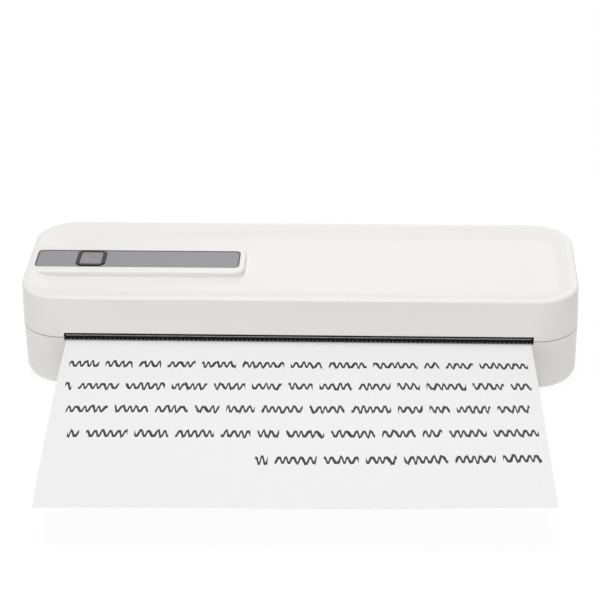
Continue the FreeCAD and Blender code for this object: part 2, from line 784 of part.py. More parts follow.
def cover_shell():
    """The upper moulding: a dished lid with a rim, a raised panel border and a rolled hinge barrel."""
    body = doc.addObject("PartDesign::Body", "cover_moulding")
    outline = new_sketch(body, "cover_outline", "XY", cover_low)
    draw(outline, rounded((-half_length, half_length), (-half_depth, half_depth), s.corner_radius))
    pad(body, outline, body_top - cover_low, s.cover_draft)
    round_edges(body, "cover_rim_round", s.rim_round,
                lambda edge: lies_at(edge, body_top))
    inside = new_sketch(body, "cover_inside", "XY", cover_low)
    inner_length = half_length - s.wall
    inner_depth = half_depth - s.wall
    draw(inside, rounded((-inner_length, inner_length), (-inner_depth, inner_depth),
                         s.corner_radius - s.wall))
    pocket(body, inside, cover_ceiling - cover_low, s.cover_draft, up=True)
    bevel_edges(body, "cover_inside_bevel", s.inside_bevel,
                lambda edge: lies_at(edge, cover_ceiling))

    dish = new_sketch(body, "dish", "XY", body_top)
    rim_inner_length = half_length - s.rim_width - cover_lean
    rim_inner_depth = half_depth - s.rim_width - cover_lean
    draw(dish, rounded((-rim_inner_length, rim_inner_length), (-rim_inner_depth, rim_inner_depth),
                       s.corner_radius - s.rim_width - cover_lean))
    pocket(body, dish, s.dish_depth, s.dish_slope)
    round_edges(body, "dish_round", s.dish_round,
                lambda edge: lies_at(edge, dish_floor))

    border = new_sketch(body, "panel_border", "XY", dish_floor - s.wall / 2)
    border_half = s.panel_depth / 2 + s.border_width
    border_left = panel_left - s.rim_width / 2
    draw(border, [(border_left, -border_half, None),
                  (border_right - s.border_corner, -border_half, s.border_corner),
                  (border_right, s.border_corner - border_half, None),
                  (border_right, border_half - s.border_corner, s.border_corner),
                  (border_right - s.border_corner, border_half, None),
                  (border_left, border_half, None)])
    pad(body, border, s.dish_depth + s.wall / 2)
    round_edges(body, "border_top_round", s.border_round,
                lambda edge: lies_at(edge, body_top) and lies_inside(edge, rim_inner_length,
                                                                          rim_inner_depth))

    recess = new_sketch(body, "panel_recess", "XY", body_top)
    panel_half = s.panel_depth / 2
    draw(recess, rounded((panel_left, panel_right), (-panel_half, panel_half), s.panel_corner))
    pocket(body, recess, s.panel_recess)

    hollow = block("border_hollow", (panel_left + s.border_hollow_side, panel_right - s.border_hollow_side),
                   (-border_half + s.border_hollow_side, border_half - s.border_hollow_side),
                   (cover_ceiling - s.overrun, panel_ceiling))
    well = prism("button_well", "XY", cap_corners(cap_half_length + s.cap_clearance,
                                                  cap_half_depth + s.cap_clearance,
                                                  s.bezel_chamfer - s.bezel_rim),
                 (panel_ceiling - s.overrun, panel_floor + s.overrun))
    barrel = rod("barrel_round", "x", (hinge_y, hinge_z),
                 (-barrel_half, barrel_half), s.barrel_radius)
    limit = prism("barrel_limit", "XY",
                  rounded((-half_length, half_length), (-half_depth, half_depth), s.corner_radius),
                  (hinge_z - s.barrel_radius - s.overrun, hinge_z + s.barrel_radius))
    rolled = doc.addObject("Part::Common", "rolled_edge")
    rolled.Base = barrel
    rolled.Tool = limit

    added = [rolled]
    removed = [hollow, well]
    for side in (1, -1):
        centre = (side * magnet_x, s.magnet_y)
        added.append(post("cover_magnet_post", centre, s.magnet_post / 2,
                          (cover_low, cover_low + s.magnet_post)))
        removed.append(post("cover_magnet_seat", centre, s.magnet_side / 2 + s.fit_gap,
                            (cover_low - s.overrun, cover_low + s.magnet_thickness + s.seat_gap)))
        removed.append(rod("knuckle_gap", "x", (hinge_y, hinge_z),
                           pin_span(side, s.knuckle_width / 2 + s.running_gap),
                           s.barrel_radius + s.running_gap))
        removed.append(rod("cover_pin_hole", "x", (hinge_y, hinge_z),
                           pin_span(side, s.hinge_pin_length / 2 + s.seat_gap),
                           s.hinge_pin_radius + s.fit_gap))
        added.append(post("switch_post", (button_x + side * switch_post_offset, ZERO), s.board_post / 2,
                          (switch_seat, panel_ceiling + s.wall / 2)))
    removed.append(block("upper_slot", (-slot_half, slot_half),
                         (-half_depth - s.overrun, s.wall + s.overrun - half_depth),
                         (cover_low - s.overrun, slot_top)))
    opened = carved("cover_opened", body, [hollow])
    return carved("cover_shell", joined("cover_with_posts", [opened] + added), removed[1:])


def cap_corners(half_x, half_y, chamfer):
    """The button's outline: a rectangle with cut corners, centred on the button."""
    x0, x1 = button_x - half_x, button_x + half_x
    y0, y1 = -half_y, half_y
    return polygon((x0 + chamfer, y0), (x1 - chamfer, y0), (x1, y0 + chamfer), (x1, y1 - chamfer),
                   (x1 - chamfer, y1), (x0 + chamfer, y1), (x0, y1 - chamfer), (x0, y0 + chamfer))


def control_panel():
    """The grey strip let into the raised border, with a window for the button's bezel."""
    gap = s.seat_gap
    panel_half = s.panel_depth / 2 - gap
    strip = prism("panel_strip", "XY",
                  rounded((panel_left + gap, panel_right - gap), (-panel_half, panel_half),
                          s.panel_corner - gap),
                  (panel_floor, panel_floor + s.panel_thickness))
    window = prism("panel_window", "XY", cap_corners(s.bezel_length / 2 + gap, s.bezel_depth / 2 + gap,
                                                     s.bezel_chamfer),
                   (panel_floor - s.overrun, body_top + s.overrun))
    return carved("control_panel", strip, [window])


def button_bezel():
    """The black frame round the power button."""
    frame = prism("bezel_outside", "XY", cap_corners(s.bezel_length / 2, s.bezel_depth / 2, s.bezel_chamfer),
                  (panel_floor, body_top + s.bezel_proud))
    window = prism("bezel_inside", "XY", cap_corners(cap_half_length + s.cap_clearance,
                                                     cap_half_depth + s.cap_clearance,
                                                     s.bezel_chamfer - s.bezel_rim),
                   (panel_floor - s.overrun, body_top + s.overrun))
    return carved("button_bezel", frame, [window])


def power_button():
    """The button cap: a dimpled top, a flange that keeps it in the cover and a stem to the switch."""
    top = body_top + s.cap_proud
    flange_top = panel_ceiling - s.fit_gap
    cap = prism("cap_top", "XY", cap_corners(cap_half_length, cap_half_depth, s.bezel_chamfer - s.bezel_rim),
                (flange_top - s.cap_flange_thickness, top))
    flange = prism("cap_flange", "XY", cap_corners(cap_half_length + s.cap_flange,
                                                   cap_half_depth + s.cap_flange, s.bezel_chamfer),
                   (flange_top - s.cap_flange_thickness, flange_top))
    stem = block("cap_stem", (button_x - s.cap_stem_side / 2, button_x + s.cap_stem_side / 2),
                 (-s.cap_stem_side / 2, s.cap_stem_side / 2), (plunger_top, flange_top))
    depth = s.cap_dimple_depth
    ball_radius = (s.cap_dimple_radius * s.cap_dimple_radius / depth + depth) / 2
    dimple = doc.addObject("Part::Sphere", "cap_dimple")
    dimple.setExpression("Radius", ball_radius.text)
    move_to(dimple, button_x, ZERO, top + ball_radius - depth)
    return carved("power_button", joined("cap_solid", [cap, flange, stem]), [dimple])


def switch_plunger():
    """The switch's own plunger, under the stem."""
    return rod("switch_plunger", "z", (button_x, ZERO),
               (switch_top - s.plunger_depth, plunger_top), s.plunger_radius)


def tact_switch():
    """The push switch on the small board."""
    half = s.switch_side / 2
    case = block("switch_case", (button_x - half, button_x + half), (-half, half), (switch_seat, switch_top))
    bore = rod("switch_bore", "z", (button_x, ZERO),
               (switch_top - s.plunger_depth - s.button_travel - s.seat_gap, switch_top + s.overrun),
               s.plunger_radius + s.fit_gap)
    return carved("tact_switch", case, [bore])


def switch_board():
    """The small board under the panel, on two posts of the cover."""
    half = s.switch_board_length / 2
    return block("switch_board", (button_x - half, button_x + half),
                 (-s.switch_board_depth / 2, s.switch_board_depth / 2),
                 (switch_seat - s.board_thickness, switch_seat))


def tear_blade():
    """The tear bar: a black lip that fills the slot down to the paper, toothed below, and its flange."""
    half = slot_half - s.blade_side_gap
    top = slot_top - s.seat_gap
    tooth_tip = paper_height + s.paper_thickness + s.blade_clearance
    tooth_root = tooth_tip + s.tooth_depth
    count = int(2 * float(half) / float(s.tooth_pitch))
    start = -count * float(s.tooth_pitch) / 2
    front = float(s.blade_setback - half_depth)
    back = float(s.wall + s.blade_wall_gap + s.blade_flange - half_depth)
    points = [(float(half), float(top)), (-float(half), float(top)), (-float(half), float(tooth_root))]
    for index in range(count):
        left = start + index * float(s.tooth_pitch)
        points.append((left, float(tooth_root)))
        points.append((left + float(s.tooth_pitch) / 2, float(tooth_tip)))
    points.append((start + count * float(s.tooth_pitch), float(tooth_root)))
    points.append((float(half), float(tooth_root)))
    wire = Part.makePolygon([FreeCAD.Vector(x, front, z) for x, z in points + points[:1]])
    lip = Part.Face(wire).extrude(FreeCAD.Vector(0, back - front, 0))
    flange_height = float(slot_top + s.blade_flange_rise - tooth_root)
    flange = Part.makeBox(2 * float(half), float(s.blade_flange), flange_height,
                          FreeCAD.Vector(-float(half), back - float(s.blade_flange), float(tooth_root)))
    blade = doc.addObject("Part::Feature", "tear_blade")
    blade.Shape = lip.fuse(flange).removeSplitter()
    return blade


def hinge_pins():
    """Two steel pins, one through each knuckle and the barrel beside it."""
    return group("hinge_pins", [rod("hinge_pin", "x", (hinge_y, hinge_z),
                                    pin_span(side, s.hinge_pin_length / 2 - s.seat_gap),
                                    s.hinge_pin_radius) for side in (1, -1)])


def magnets(name, low):
    """A pair of square closing magnets."""
    return group(name, [post(name + "_plate", (side * magnet_x, s.magnet_y), s.magnet_side / 2,
                             (low, low + s.magnet_thickness - s.seat_gap))
                        for side in (1, -1)])


def foot_places():
    """Centres of the feet: one near each corner and one in the middle."""
    x = half_length - s.foot_end_inset
    y = half_depth - s.foot_side_inset
    return [(x, y), (x, -y), (-x, y), (-x, -y), (ZERO, ZERO)]


def rubber_feet():
    """The round feet under the floor."""
    return group("rubber_feet", [rod("foot", "z", centre, (ZERO, floor), s.foot_radius)
                                 for centre in foot_places()])


def base_screws():
    """The heads of the four screws from below that hold the paper bin, sunk in the base."""
    span = (floor + s.seat_gap, floor + s.base_screw_sink)
    return group("base_screws", [rod("base_screw", "z", (side * ear_boss_x, y), span, s.base_screw_head)
                                 for side in (1, -1) for y in ear_boss_places])


def paper_bin():
    """The inner moulding: a trough for the roll, a deck under the web and screw ears at both ends."""
    inner = s.roll_radius + s.bin_clearance
    outer = inner + s.bin_wall
    front = roll_y - inner
    back = roll_y + inner
    top_back = hinge_z - s.bin_back_drop
    top_end = roll_z + s.bin_end_rise
    low_front = deck_front_height - s.deck_thickness
    low_back = deck_back_height - s.deck_thickness
    section = [
        (deck_front_y, low_front, None), (front - s.bin_wall, low_back, None),
        (front - s.bin_wall, roll_z, outer), (roll_y, roll_z - outer, outer),
        (back + s.bin_wall, roll_z, None), (back + s.bin_wall, top_back, None),
        (back, top_back, None), (back, roll_z, -inner), (roll_y, roll_z - inner, -inner),
        (front, roll_z, None), (front, deck_back_height, None),
        (deck_front_y, deck_front_height, None),
    ]
    trough = prism("bin_trough", "YZ", section, (-bin_half, bin_half))
    end_outline = [
        (front - s.bin_wall, roll_z, outer), (roll_y, roll_z - outer, outer),
        (back + s.bin_wall, roll_z, None), (back + s.bin_wall, top_back, None),
        (back - s.bin_end_slope, top_end, None), (front - s.bin_wall, top_end, None),
    ]
    end_span = (bin_half - s.bin_wall, bin_half)
    added = [trough]
    removed = []
    for side, spans in ((1, end_span), (-1, both_ends(end_span))):
        added.append(prism("bin_end", "YZ", end_outline, spans))
        ear = (bin_half - s.bin_wall, bin_half + s.ear_reach)
        added.append(block("bin_ear", ear if side > 0 else both_ends(ear),
                           (ear_boss_places[0] - s.ear_boss_half, ear_boss_places[1] + s.ear_boss_half),
                           (s.ear_height, s.ear_height + s.ear_thickness)))
        for y in ear_boss_places:
            added.append(post("ear_boss", (side * ear_boss_x, y), s.ear_boss_half,
                              (floor_top + s.seat_gap, s.ear_height + s.ear_thickness)))
    half = s.sensor_side / 2
    removed.append(block("sensor_window", (-half - s.seat_gap, half + s.seat_gap),
                         (sensor_y - half - s.seat_gap, sensor_y + half + s.seat_gap),
                         (low_front - s.overrun, deck_back_height + s.overrun)))
    return carved("paper_bin", joined("bin_solid", added), removed)


def paper_sensor():
    """The paper sensor, looking up at the web through a window of the deck."""
    half = s.sensor_side / 2
    return block("paper_sensor", (-half, half), (sensor_y - half, sensor_y + half),
                 (deck_front_height - s.sensor_height, deck_front_height))


def web_points():
    """Places of the paper's lower face: over the platen, under the bend and up to the roll."""
    wrap_radius = s.platen_radius + s.paper_gap
    leave_y = place("leave_y", platen_y + wrap_radius * sine(s.platen_wrap))
    leave_z = place("leave_z", platen_z + wrap_radius * cosine(s.platen_wrap))
    run_y = place("run_y", leave_y + s.web_run * cosine(s.platen_wrap))
    run_z = place("run_z", leave_z - s.web_run * sine(s.platen_wrap))
    bend_y = place("bend_y", run_y + s.web_bend * sine(s.platen_wrap))
    bend_z = place("bend_z", run_z + s.web_bend * cosine(s.platen_wrap))
    roll_wrap_radius = s.roll_radius + s.paper_gap
    across = roll_y - bend_y
    rise = roll_z - bend_z
    apart = place("bend_to_roll", root_of(across * across + rise * rise))
    lean = place("web_lean", (roll_wrap_radius + s.web_bend) / apart)
    keep_share = place("web_lean_share", root_of(as_size(1) - lean * lean))
    direction_y = place("web_direction_y", (across * keep_share - rise * lean) / apart)
    direction_z = place("web_direction_z", (rise * keep_share + across * lean) / apart)
    return {
        "wrap_radius": wrap_radius, "leave": (leave_y, leave_z), "run": (run_y, run_z),
        "bend": (bend_y, bend_z), "roll_wrap_radius": roll_wrap_radius,
        "direction": (direction_y, direction_z),
    }


def paper_web():
    """The paper from the top of the roll to its free end: one bent sheet."""
    web = web_points_made
    thick = s.paper_thickness
    low = paper_height
    high = low + thick
    drop_y = place("droop_start_y", platen_y - s.paper_level_run)
    end_y = place("paper_end_y", -half_depth - s.paper_reach)
    span = drop_y - end_y
    droop_low = s.paper_droop_radius
    droop_high = droop_low + thick
    centre_z = low - droop_low
    fall = place("paper_end_share", span / droop_low)
    fall_share = place("paper_end_cosine", root_of(as_size(1) - fall * fall))
    direction_y, direction_z = web["direction"]
    bend_y, bend_z = web["bend"]
    lift = s.roll_wrap
    wrap_y = place("roll_leave_y", cosine(lift) * direction_z - sine(lift) * direction_y)
    wrap_z = place("roll_leave_z", cosine(lift) * direction_y + sine(lift) * direction_z)

    def around(radius_roll, radius_bend, radius_wrap):
        """Where one face of the web leaves each curve."""
        return (
            (roll_y - radius_roll * wrap_y, roll_z + radius_roll * wrap_z),
            (roll_y - radius_roll * direction_z, roll_z + radius_roll * direction_y),
            (bend_y + radius_bend * direction_z, bend_z - radius_bend * direction_y),
            (bend_y - radius_bend * sine(s.platen_wrap), bend_z - radius_bend * cosine(s.platen_wrap)),
            (platen_y + radius_wrap * sine(s.platen_wrap), platen_z + radius_wrap * cosine(s.platen_wrap)),
        )

    rolled = web["roll_wrap_radius"]
    under = around(rolled, s.web_bend, web["wrap_radius"])
    over = around(rolled + thick, s.web_bend - thick, web["wrap_radius"] + thick)
    corners = [
        (under[0][0], under[0][1], rolled), (under[1][0], under[1][1], None),
        (under[2][0], under[2][1], -s.web_bend), (under[3][0], under[3][1], None),
        (under[4][0], under[4][1], web["wrap_radius"]), (platen_y, low, None),
        (drop_y, low, droop_low),
        (drop_y - droop_low * fall, centre_z + droop_low * fall_share, None),
        (drop_y - droop_high * fall, centre_z + droop_high * fall_share, -droop_high),
        (drop_y, high, None), (platen_y, high, -(web["wrap_radius"] + thick)),
        (over[4][0], over[4][1], None), (over[3][0], over[3][1], s.web_bend - thick),
        (over[2][0], over[2][1], None), (over[1][0], over[1][1], -(rolled + thick)),
        (over[0][0], over[0][1], None),
    ]
    return prism("paper_web", "YZ", corners, (-paper_half, paper_half))


def paper_roll():
    """The roll of paper, wound on its core."""
    return carved("paper_roll", rod("roll_outside", "x", (roll_y, roll_z), (-paper_half, paper_half),
                                    s.roll_radius),
                  [rod("roll_bore", "x", (roll_y, roll_z), (-paper_half - s.overrun, paper_half + s.overrun),
                       s.core_radius + s.fit_gap)])


def roll_core():
    """The cardboard core of the roll."""
    return carved("roll_core", rod("core_outside", "x", (roll_y, roll_z), (-paper_half, paper_half),
                                   s.core_radius),
                  [rod("core_bore", "x", (roll_y, roll_z), (-paper_half - s.overrun, paper_half + s.overrun),
                       s.core_radius - s.core_wall)])


def platen_roller():
    """The rubber sleeve of the platen."""
    return carved("platen_roller", rod("platen_sleeve", "x", (platen_y, platen_z),
                                       (-platen_half, platen_half), s.platen_radius),
                  [rod("platen_bore", "x", (platen_y, platen_z),
                       (-platen_half - s.overrun, platen_half + s.overrun),
                       s.platen_shaft_radius + s.fit_gap)])


def platen_shaft():
    """The steel shaft through the platen, with a groove for its clip."""
    left = -(plate_outside + s.shaft_overhang)
    bar = rod("shaft_bar", "x", (platen_y, platen_z), (left, gear_layer_one[1] + s.seat_gap),
              s.platen_shaft_radius)
    clip_low = -(plate_outside + s.bushing_flange_thickness + s.fit_gap)
    groove = carved("clip_groove",
                    rod("groove_outside", "x", (platen_y, platen_z),
                        (clip_low - s.clip_thickness - s.fit_gap, clip_low),
                        s.platen_shaft_radius + s.overrun),
                    [rod("groove_inside", "x", (platen_y, platen_z),
                         (clip_low - s.clip_thickness - s.overrun, clip_low + s.overrun),
                         s.platen_shaft_radius - s.clip_groove_depth)])
    return carved("platen_shaft", bar, [groove])


def shaft_clip():
    """The open ring that keeps the platen shaft in its bushing."""
    clip_low = -(plate_outside + s.bushing_flange_thickness + s.fit_gap)
    span = (clip_low - s.clip_thickness, clip_low - s.fit_gap)
    disc = rod("clip_disc", "x", (platen_y, platen_z), span, s.clip_radius)
    wide = (span[0] - s.overrun, span[1] + s.overrun)
    inner = s.platen_shaft_radius - s.clip_groove_depth + s.fit_gap
    bore = rod("clip_bore", "x", (platen_y, platen_z), wide, inner)
    mouth = block("clip_mouth", wide, (platen_y - s.clip_radius - s.overrun, platen_y),
                  (platen_z - inner, platen_z + inner))
    return carved("shaft_clip", disc, [bore, mouth])


def platen_bushings():
    """A flanged bushing in each side plate."""
    bushings = []
    for side in (1, -1):
        body_span = (plate_inside - s.bushing_inset, plate_outside)
        flange_span = (plate_outside, plate_outside + s.bushing_flange_thickness)
        if side < 0:
            body_span, flange_span = both_ends(body_span), both_ends(flange_span)
        centre = (platen_y, platen_z)
        solid = joined("bushing_solid", [rod("bushing_body", "x", centre, body_span, s.bushing_radius),
                                         rod("bushing_rim", "x", centre, flange_span, s.bushing_flange)])
        long_span = (plate_inside - s.overrun - s.bushing_inset, plate_outside + s.overrun
                     + s.bushing_flange_thickness)
        bore = rod("bushing_bore", "x", centre, long_span if side > 0 else both_ends(long_span),
                   s.platen_shaft_radius + s.fit_gap)
        bushings.append(carved("bushing", solid, [bore]))
    return group("platen_bushings", bushings)


def gear_blank(name, teeth, span, y, z, bore, phase):
    """A spur gear along X: a disc and one tooth, repeated round it, turned by its phase in degrees."""
    teeth_count = int(float(teeth))
    body = doc.addObject("PartDesign::Body", name)
    disc = new_sketch(body, name + "_disc", "YZ", ZERO)
    dedendum_share = 1.25
    root_radius = gear_module * (teeth_count / 2 - dedendum_share)
    ring(disc, ZERO, ZERO, root_radius)
    ring(disc, ZERO, ZERO, bore)
    pad(body, disc, span[1] - span[0])
    tooth = new_sketch(body, name + "_tooth", "YZ", ZERO)
    pitch_radius = teeth_count / 2
    pressure = math.radians(float(s.pressure_angle))
    base_radius = pitch_radius * math.cos(pressure)
    half_pitch_angle = math.pi / 2 / teeth_count - float(s.backlash / gear_module) / 2 / pitch_radius

    def flank(radius):
        """Half the tooth's angle at a radius, in modules, on its involute."""
        turn = math.acos(min(1.0, base_radius / radius)) if radius > base_radius else 0
        return half_pitch_angle + math.tan(pressure) - pressure - math.tan(turn) + turn

    depth_shares = (-1.35, -0.2, 1.0)
    radii = [pitch_radius + share for share in depth_shares]
    points = []
    for radius in radii:
        points.append((radius, flank(radius)))
    for radius in reversed(radii):
        points.append((radius, -flank(radius)))
    draw(tooth, polygon(*[(gear_module * (radius * math.cos(angle)),
                           gear_module * (radius * math.sin(angle))) for radius, angle in points[::-1]]))
    first = pad(body, tooth, span[1] - span[0])
    pattern = body.newObject("PartDesign::PolarPattern", name + "_teeth")
    pattern.Originals = [first]
    pattern.Axis = (tooth, ["N_Axis"])
    pattern.Angle = FULL_TURN
    pattern.setExpression("Occurrences", teeth.text)
    body.Tip = pattern
    body.Placement = FreeCAD.Placement(FreeCAD.Vector(0, 0, 0),
                                       FreeCAD.Rotation(FreeCAD.Vector(1, 0, 0), phase))
    move_to(body, span[0], y, z)
    return body


def mesh_phases():
    """Turns of each gear, in degrees, that put a tooth of one into a gap of the next."""
    to_idler = math.degrees(math.atan2(float(idler_z) - float(platen_z), float(idler_y) - float(platen_y)))
    to_motor = math.degrees(math.atan2(float(motor_z) - float(idler_z), float(motor_y) - float(idler_y)))
    idler_small = to_idler + 180 + 180 / float(s.idler_small_teeth)
    idler_large = to_motor
    pinion = to_motor + 180 + 180 / float(s.pinion_teeth)
    return to_idler, idler_small, idler_large, pinion


def platen_gear():
    """The gear on the platen's right end."""
    return gear_blank("platen_gear", s.platen_teeth, gear_layer_one, platen_y, platen_z,
                      s.platen_shaft_radius + s.fit_gap, phases[0])


def idler_gear():
    """The stepped idler: its small wheel drives the platen gear, its large one takes the pinion."""
    y, z = idler_centre
    small = gear_blank("idler_small", s.idler_small_teeth, (gear_layer_one[0], gear_layer_two[0]), y, z,
                       s.stud_radius + s.fit_gap, phases[1])
    large = gear_blank("idler_large", s.idler_large_teeth, gear_layer_two, y, z,
                       s.stud_radius + s.fit_gap, phases[2])
    return joined("idler_gear", [small, large])


def motor_pinion():
    """The pinion on the motor's shaft."""
    return gear_blank("motor_pinion", s.pinion_teeth, gear_layer_two, motor_y, motor_z,
                      s.motor_shaft_radius + s.fit_gap, phases[3])


def feed_motor():
    """The stepper motor's can with its mounting plate and pilot."""
    centre = (motor_y, motor_z)
    inside = plate_inside
    can = rod("motor_can", "x", centre, (inside - s.motor_length, inside), s.motor_radius)
    pilot = rod("motor_pilot", "x", centre, (inside, plate_outside), s.motor_pilot_radius)
    parts = [can, pilot]
    for y, z in motor_ears():
        parts.append(rod("motor_ear", "x", (y, z), (inside - s.motor_flange, inside), s.motor_ear_radius))
        parts.append(block("motor_web", (inside - s.motor_flange, inside),
                           (least(y, motor_y) - ear_pad(y, motor_y), most(y, motor_y)
                            + ear_pad(y, motor_y)),
                           (least(z, motor_z) - ear_pad(z, motor_z), most(z, motor_z)
                            + ear_pad(z, motor_z))))
    hole = rod("motor_shaft_hole", "x", centre, (inside - s.motor_shaft_depth - s.seat_gap,
                                                 plate_outside + s.overrun),
               s.motor_shaft_radius + s.fit_gap)
    return carved("feed_motor", joined("motor_solid", parts), [hole])


def least(first, second):
    """The lower of two places."""
    return first if float(first) < float(second) else second


def most(first, second):
    """The higher of two places."""
    return first if float(first) > float(second) else second


def ear_pad(first, second):
    """Half the width of an ear's web across its length, and nothing along it."""
    return s.motor_ear_radius if float(first) == float(second) else ZERO


def motor_ears():
    """Centres of the motor's two screw ears."""
    return [(motor_y, motor_z + s.motor_ear_offset), (motor_y + s.motor_ear_offset, motor_z)]


def motor_shaft():
    """The motor's shaft, from inside the can to the pinion."""
    return rod("motor_shaft", "x", (motor_y, motor_z),
               (plate_inside - s.motor_shaft_depth, gear_layer_two[1] + s.seat_gap),
               s.motor_shaft_radius)


def idler_stud():
    """The fixed stud that carries the idler."""
    return rod("idler_stud", "x", idler_centre, (plate_inside, gear_layer_two[1] + s.running_gap),
               s.stud_radius)


def plate_outline():
    """The side plates' outline, cut back above the paper path."""
    return polygon((plate_front_y, s.plate_low), (plate_back_y, s.plate_low),
                   (plate_back_y, s.plate_shoulder), (platen_y + s.plate_top_back, plate_top),
                   (plate_front_y, plate_top))


def plate_tab_centres():
    """Where the foot tabs stand along Y."""
    half = s.plate_tab_depth / 2
    return (plate_front_y + half, plate_back_y - half)


def side_plate(name, side):
    """A steel side plate with two foot tabs bent outwards, and its holes."""
    span = (plate_inside, plate_outside)
    tab = (plate_inside, plate_outside + s.plate_tab)
    if side < 0:
        span, tab = both_ends(span), both_ends(tab)
    plate = prism(name + "_blank", "YZ", plate_outline(), span)
    added = [plate]
    removed = []
    half = s.plate_tab_depth / 2
    for y in plate_tab_centres():
        added.append(block(name + "_tab", tab, (y - half, y + half),
                           (s.plate_low, s.plate_low + s.plate_thickness)))
    wide = (plate_inside - s.overrun, plate_outside + s.overrun)
    if side < 0:
        wide = both_ends(wide)
    removed.append(rod(name + "_bushing_hole", "x", (platen_y, platen_z), wide,
                       s.bushing_radius + s.fit_gap))
    removed.append(rod(name + "_pivot_hole", "x", (pivot_y, pivot_z), wide,
                       s.pivot_radius + s.fit_gap))
    if side > 0:
        removed.append(rod("motor_hole", "x", (motor_y, motor_z), wide,
                           s.motor_pilot_radius + s.fit_gap))
        removed.append(rod("stud_hole", "x", idler_centre, wide, s.stud_radius + s.fit_gap))
    else:
        slot = s.lift_pin_radius + s.lift_pin_gap
        removed.append(block("lift_pin_slot", wide, (lever_y - slot, lever_y + slot),
                             (lift_pin_z - slot, lift_pin_z + slot + lift_height)))
        removed.append(rod("lever_stud_hole", "x", (lever_y, lever_z), wide,
                           s.lever_stud_radius + s.fit_gap))
    return carved(name, joined(name + "_bent", added), removed)


def cross_beam():
    """The channel that joins the side plates above the head and backs its spring."""
    thick = s.plate_thickness
    section = polygon((beam_front_y, beam_low), (beam_back_y, beam_low), (beam_back_y, beam_top),
                      (beam_back_y - thick, beam_top), (beam_back_y - thick, beam_low + thick),
                      (beam_front_y + thick, beam_low + thick), (beam_front_y + thick, beam_top),
                      (beam_front_y, beam_top))
    channel = prism("beam_channel", "YZ", section, (-plate_inside, plate_inside))
    span = (plate_inside - thick, plate_inside)
    tabs = [block("beam_tab", limits, (beam_front_y, beam_back_y), (beam_low, beam_top))
            for limits in (span, both_ends(span))]
    return joined("cross_beam", [channel] + tabs)


def head_spring():
    """The leaf spring under the beam: one strip with fingers bent down onto the heat sink."""
    top = beam_low
    thick = s.spring_thickness
    back = beam_back_y - s.overrun
    root = back - s.spring_root
    tip = beam_front_y + s.spring_root
    tip_z = sink_top + s.spring_tip_height
    strip = block("spring_strip", (-s.spring_half_length, s.spring_half_length), (root, back),
                  (top - thick, top))
    finger = polygon((root, top - thick), (root, top), (tip, tip_z + thick),
                     (tip - s.overrun, tip_z + thick + s.spring_tip_height),
                     (tip - s.overrun, tip_z + s.spring_tip_height), (tip, tip_z))
    fingers = []
    for index in range(SPRING_FINGERS):
        share = index / (SPRING_FINGERS - 1)
        left = (s.spring_finger - s.spring_half_length * 2) * share + s.spring_half_length - s.spring_finger
        fingers.append(prism("spring_finger", "YZ", finger, (left, left + s.spring_finger)))
    return joined("head_spring", [strip] + fingers)


def head_pivot_rod():
    """The rod that the head tilts on, held by both side plates."""
    end = plate_outside + s.seat_gap
    return rod("head_pivot_rod", "x", (pivot_y, pivot_z), (-end, end), s.pivot_radius)


def print_head():
    """The ceramic strip with the heating line over the platen."""
    return block("print_head", (-head_half, head_half), (head_front_y, driver_back_y),
                 (head_low, head_low + s.ceramic_thickness))


def heat_sink():
    """The aluminium bar behind the ceramic: grooved on top, with a pivot boss along its back."""
    low = head_low + s.ceramic_thickness
    span = (-head_half, head_half)
    bar = prism("sink_bar", "YZ",
                polygon((head_front_y, low), (driver_back_y, low), (pivot_y, pivot_z - s.pivot_boss),
                        (pivot_y, sink_top), (head_front_y, sink_top)), span)
    boss = rod("sink_boss", "x", (pivot_y, pivot_z), span, s.pivot_boss)
    wide = (-head_half - s.overrun, head_half + s.overrun)
    removed = [rod("sink_bore", "x", (pivot_y, pivot_z), wide, s.pivot_radius + s.fit_gap),
               rod("lift_pin_hole", "x", (lever_y, lift_pin_z), (wide[0], s.lift_pin_depth
                                                                    - head_half),
                   s.lift_pin_radius + s.fit_gap)]
    for index in range(SINK_GROOVES):
        right = pivot_y - s.pivot_boss - s.sink_groove * (2 * index + 1)
        removed.append(block("sink_groove", (s.sink_end - head_half, head_half - s.sink_end),
                             (right - s.sink_groove, right),
                             (sink_top - s.sink_groove_depth, sink_top + s.overrun)))
    return carved("head_heat_sink", joined("sink_solid", [bar, boss]), removed)


def driver_cover():
    """The rounded cover over the head's drivers, which leads the web up to the roll."""
    bend_y, bend_z = web_points_made["bend"]
    radius = s.web_bend - s.paper_thickness - s.driver_clearance
    start_y = bend_y - radius * sine(s.platen_wrap)
    start_z = bend_z - radius * cosine(s.platen_wrap)
    climb = head_low - start_z
    front_y = start_y - climb * cosine(s.platen_wrap) / sine(s.platen_wrap)
    corners = [(front_y, head_low, None), (start_y, start_z, radius), (driver_back_y, head_low, None)]
    return prism("driver_cover", "YZ", corners, (-paper_half - s.overrun, paper_half + s.overrun))


def lift_pin():
    """The steel pin that the lever's cam lifts the head by."""
    return rod("lift_pin", "x", (lever_y, lift_pin_z),
               (s.running_gap - lever_middle, s.lift_pin_depth - s.seat_gap - head_half),
               s.lift_pin_radius)


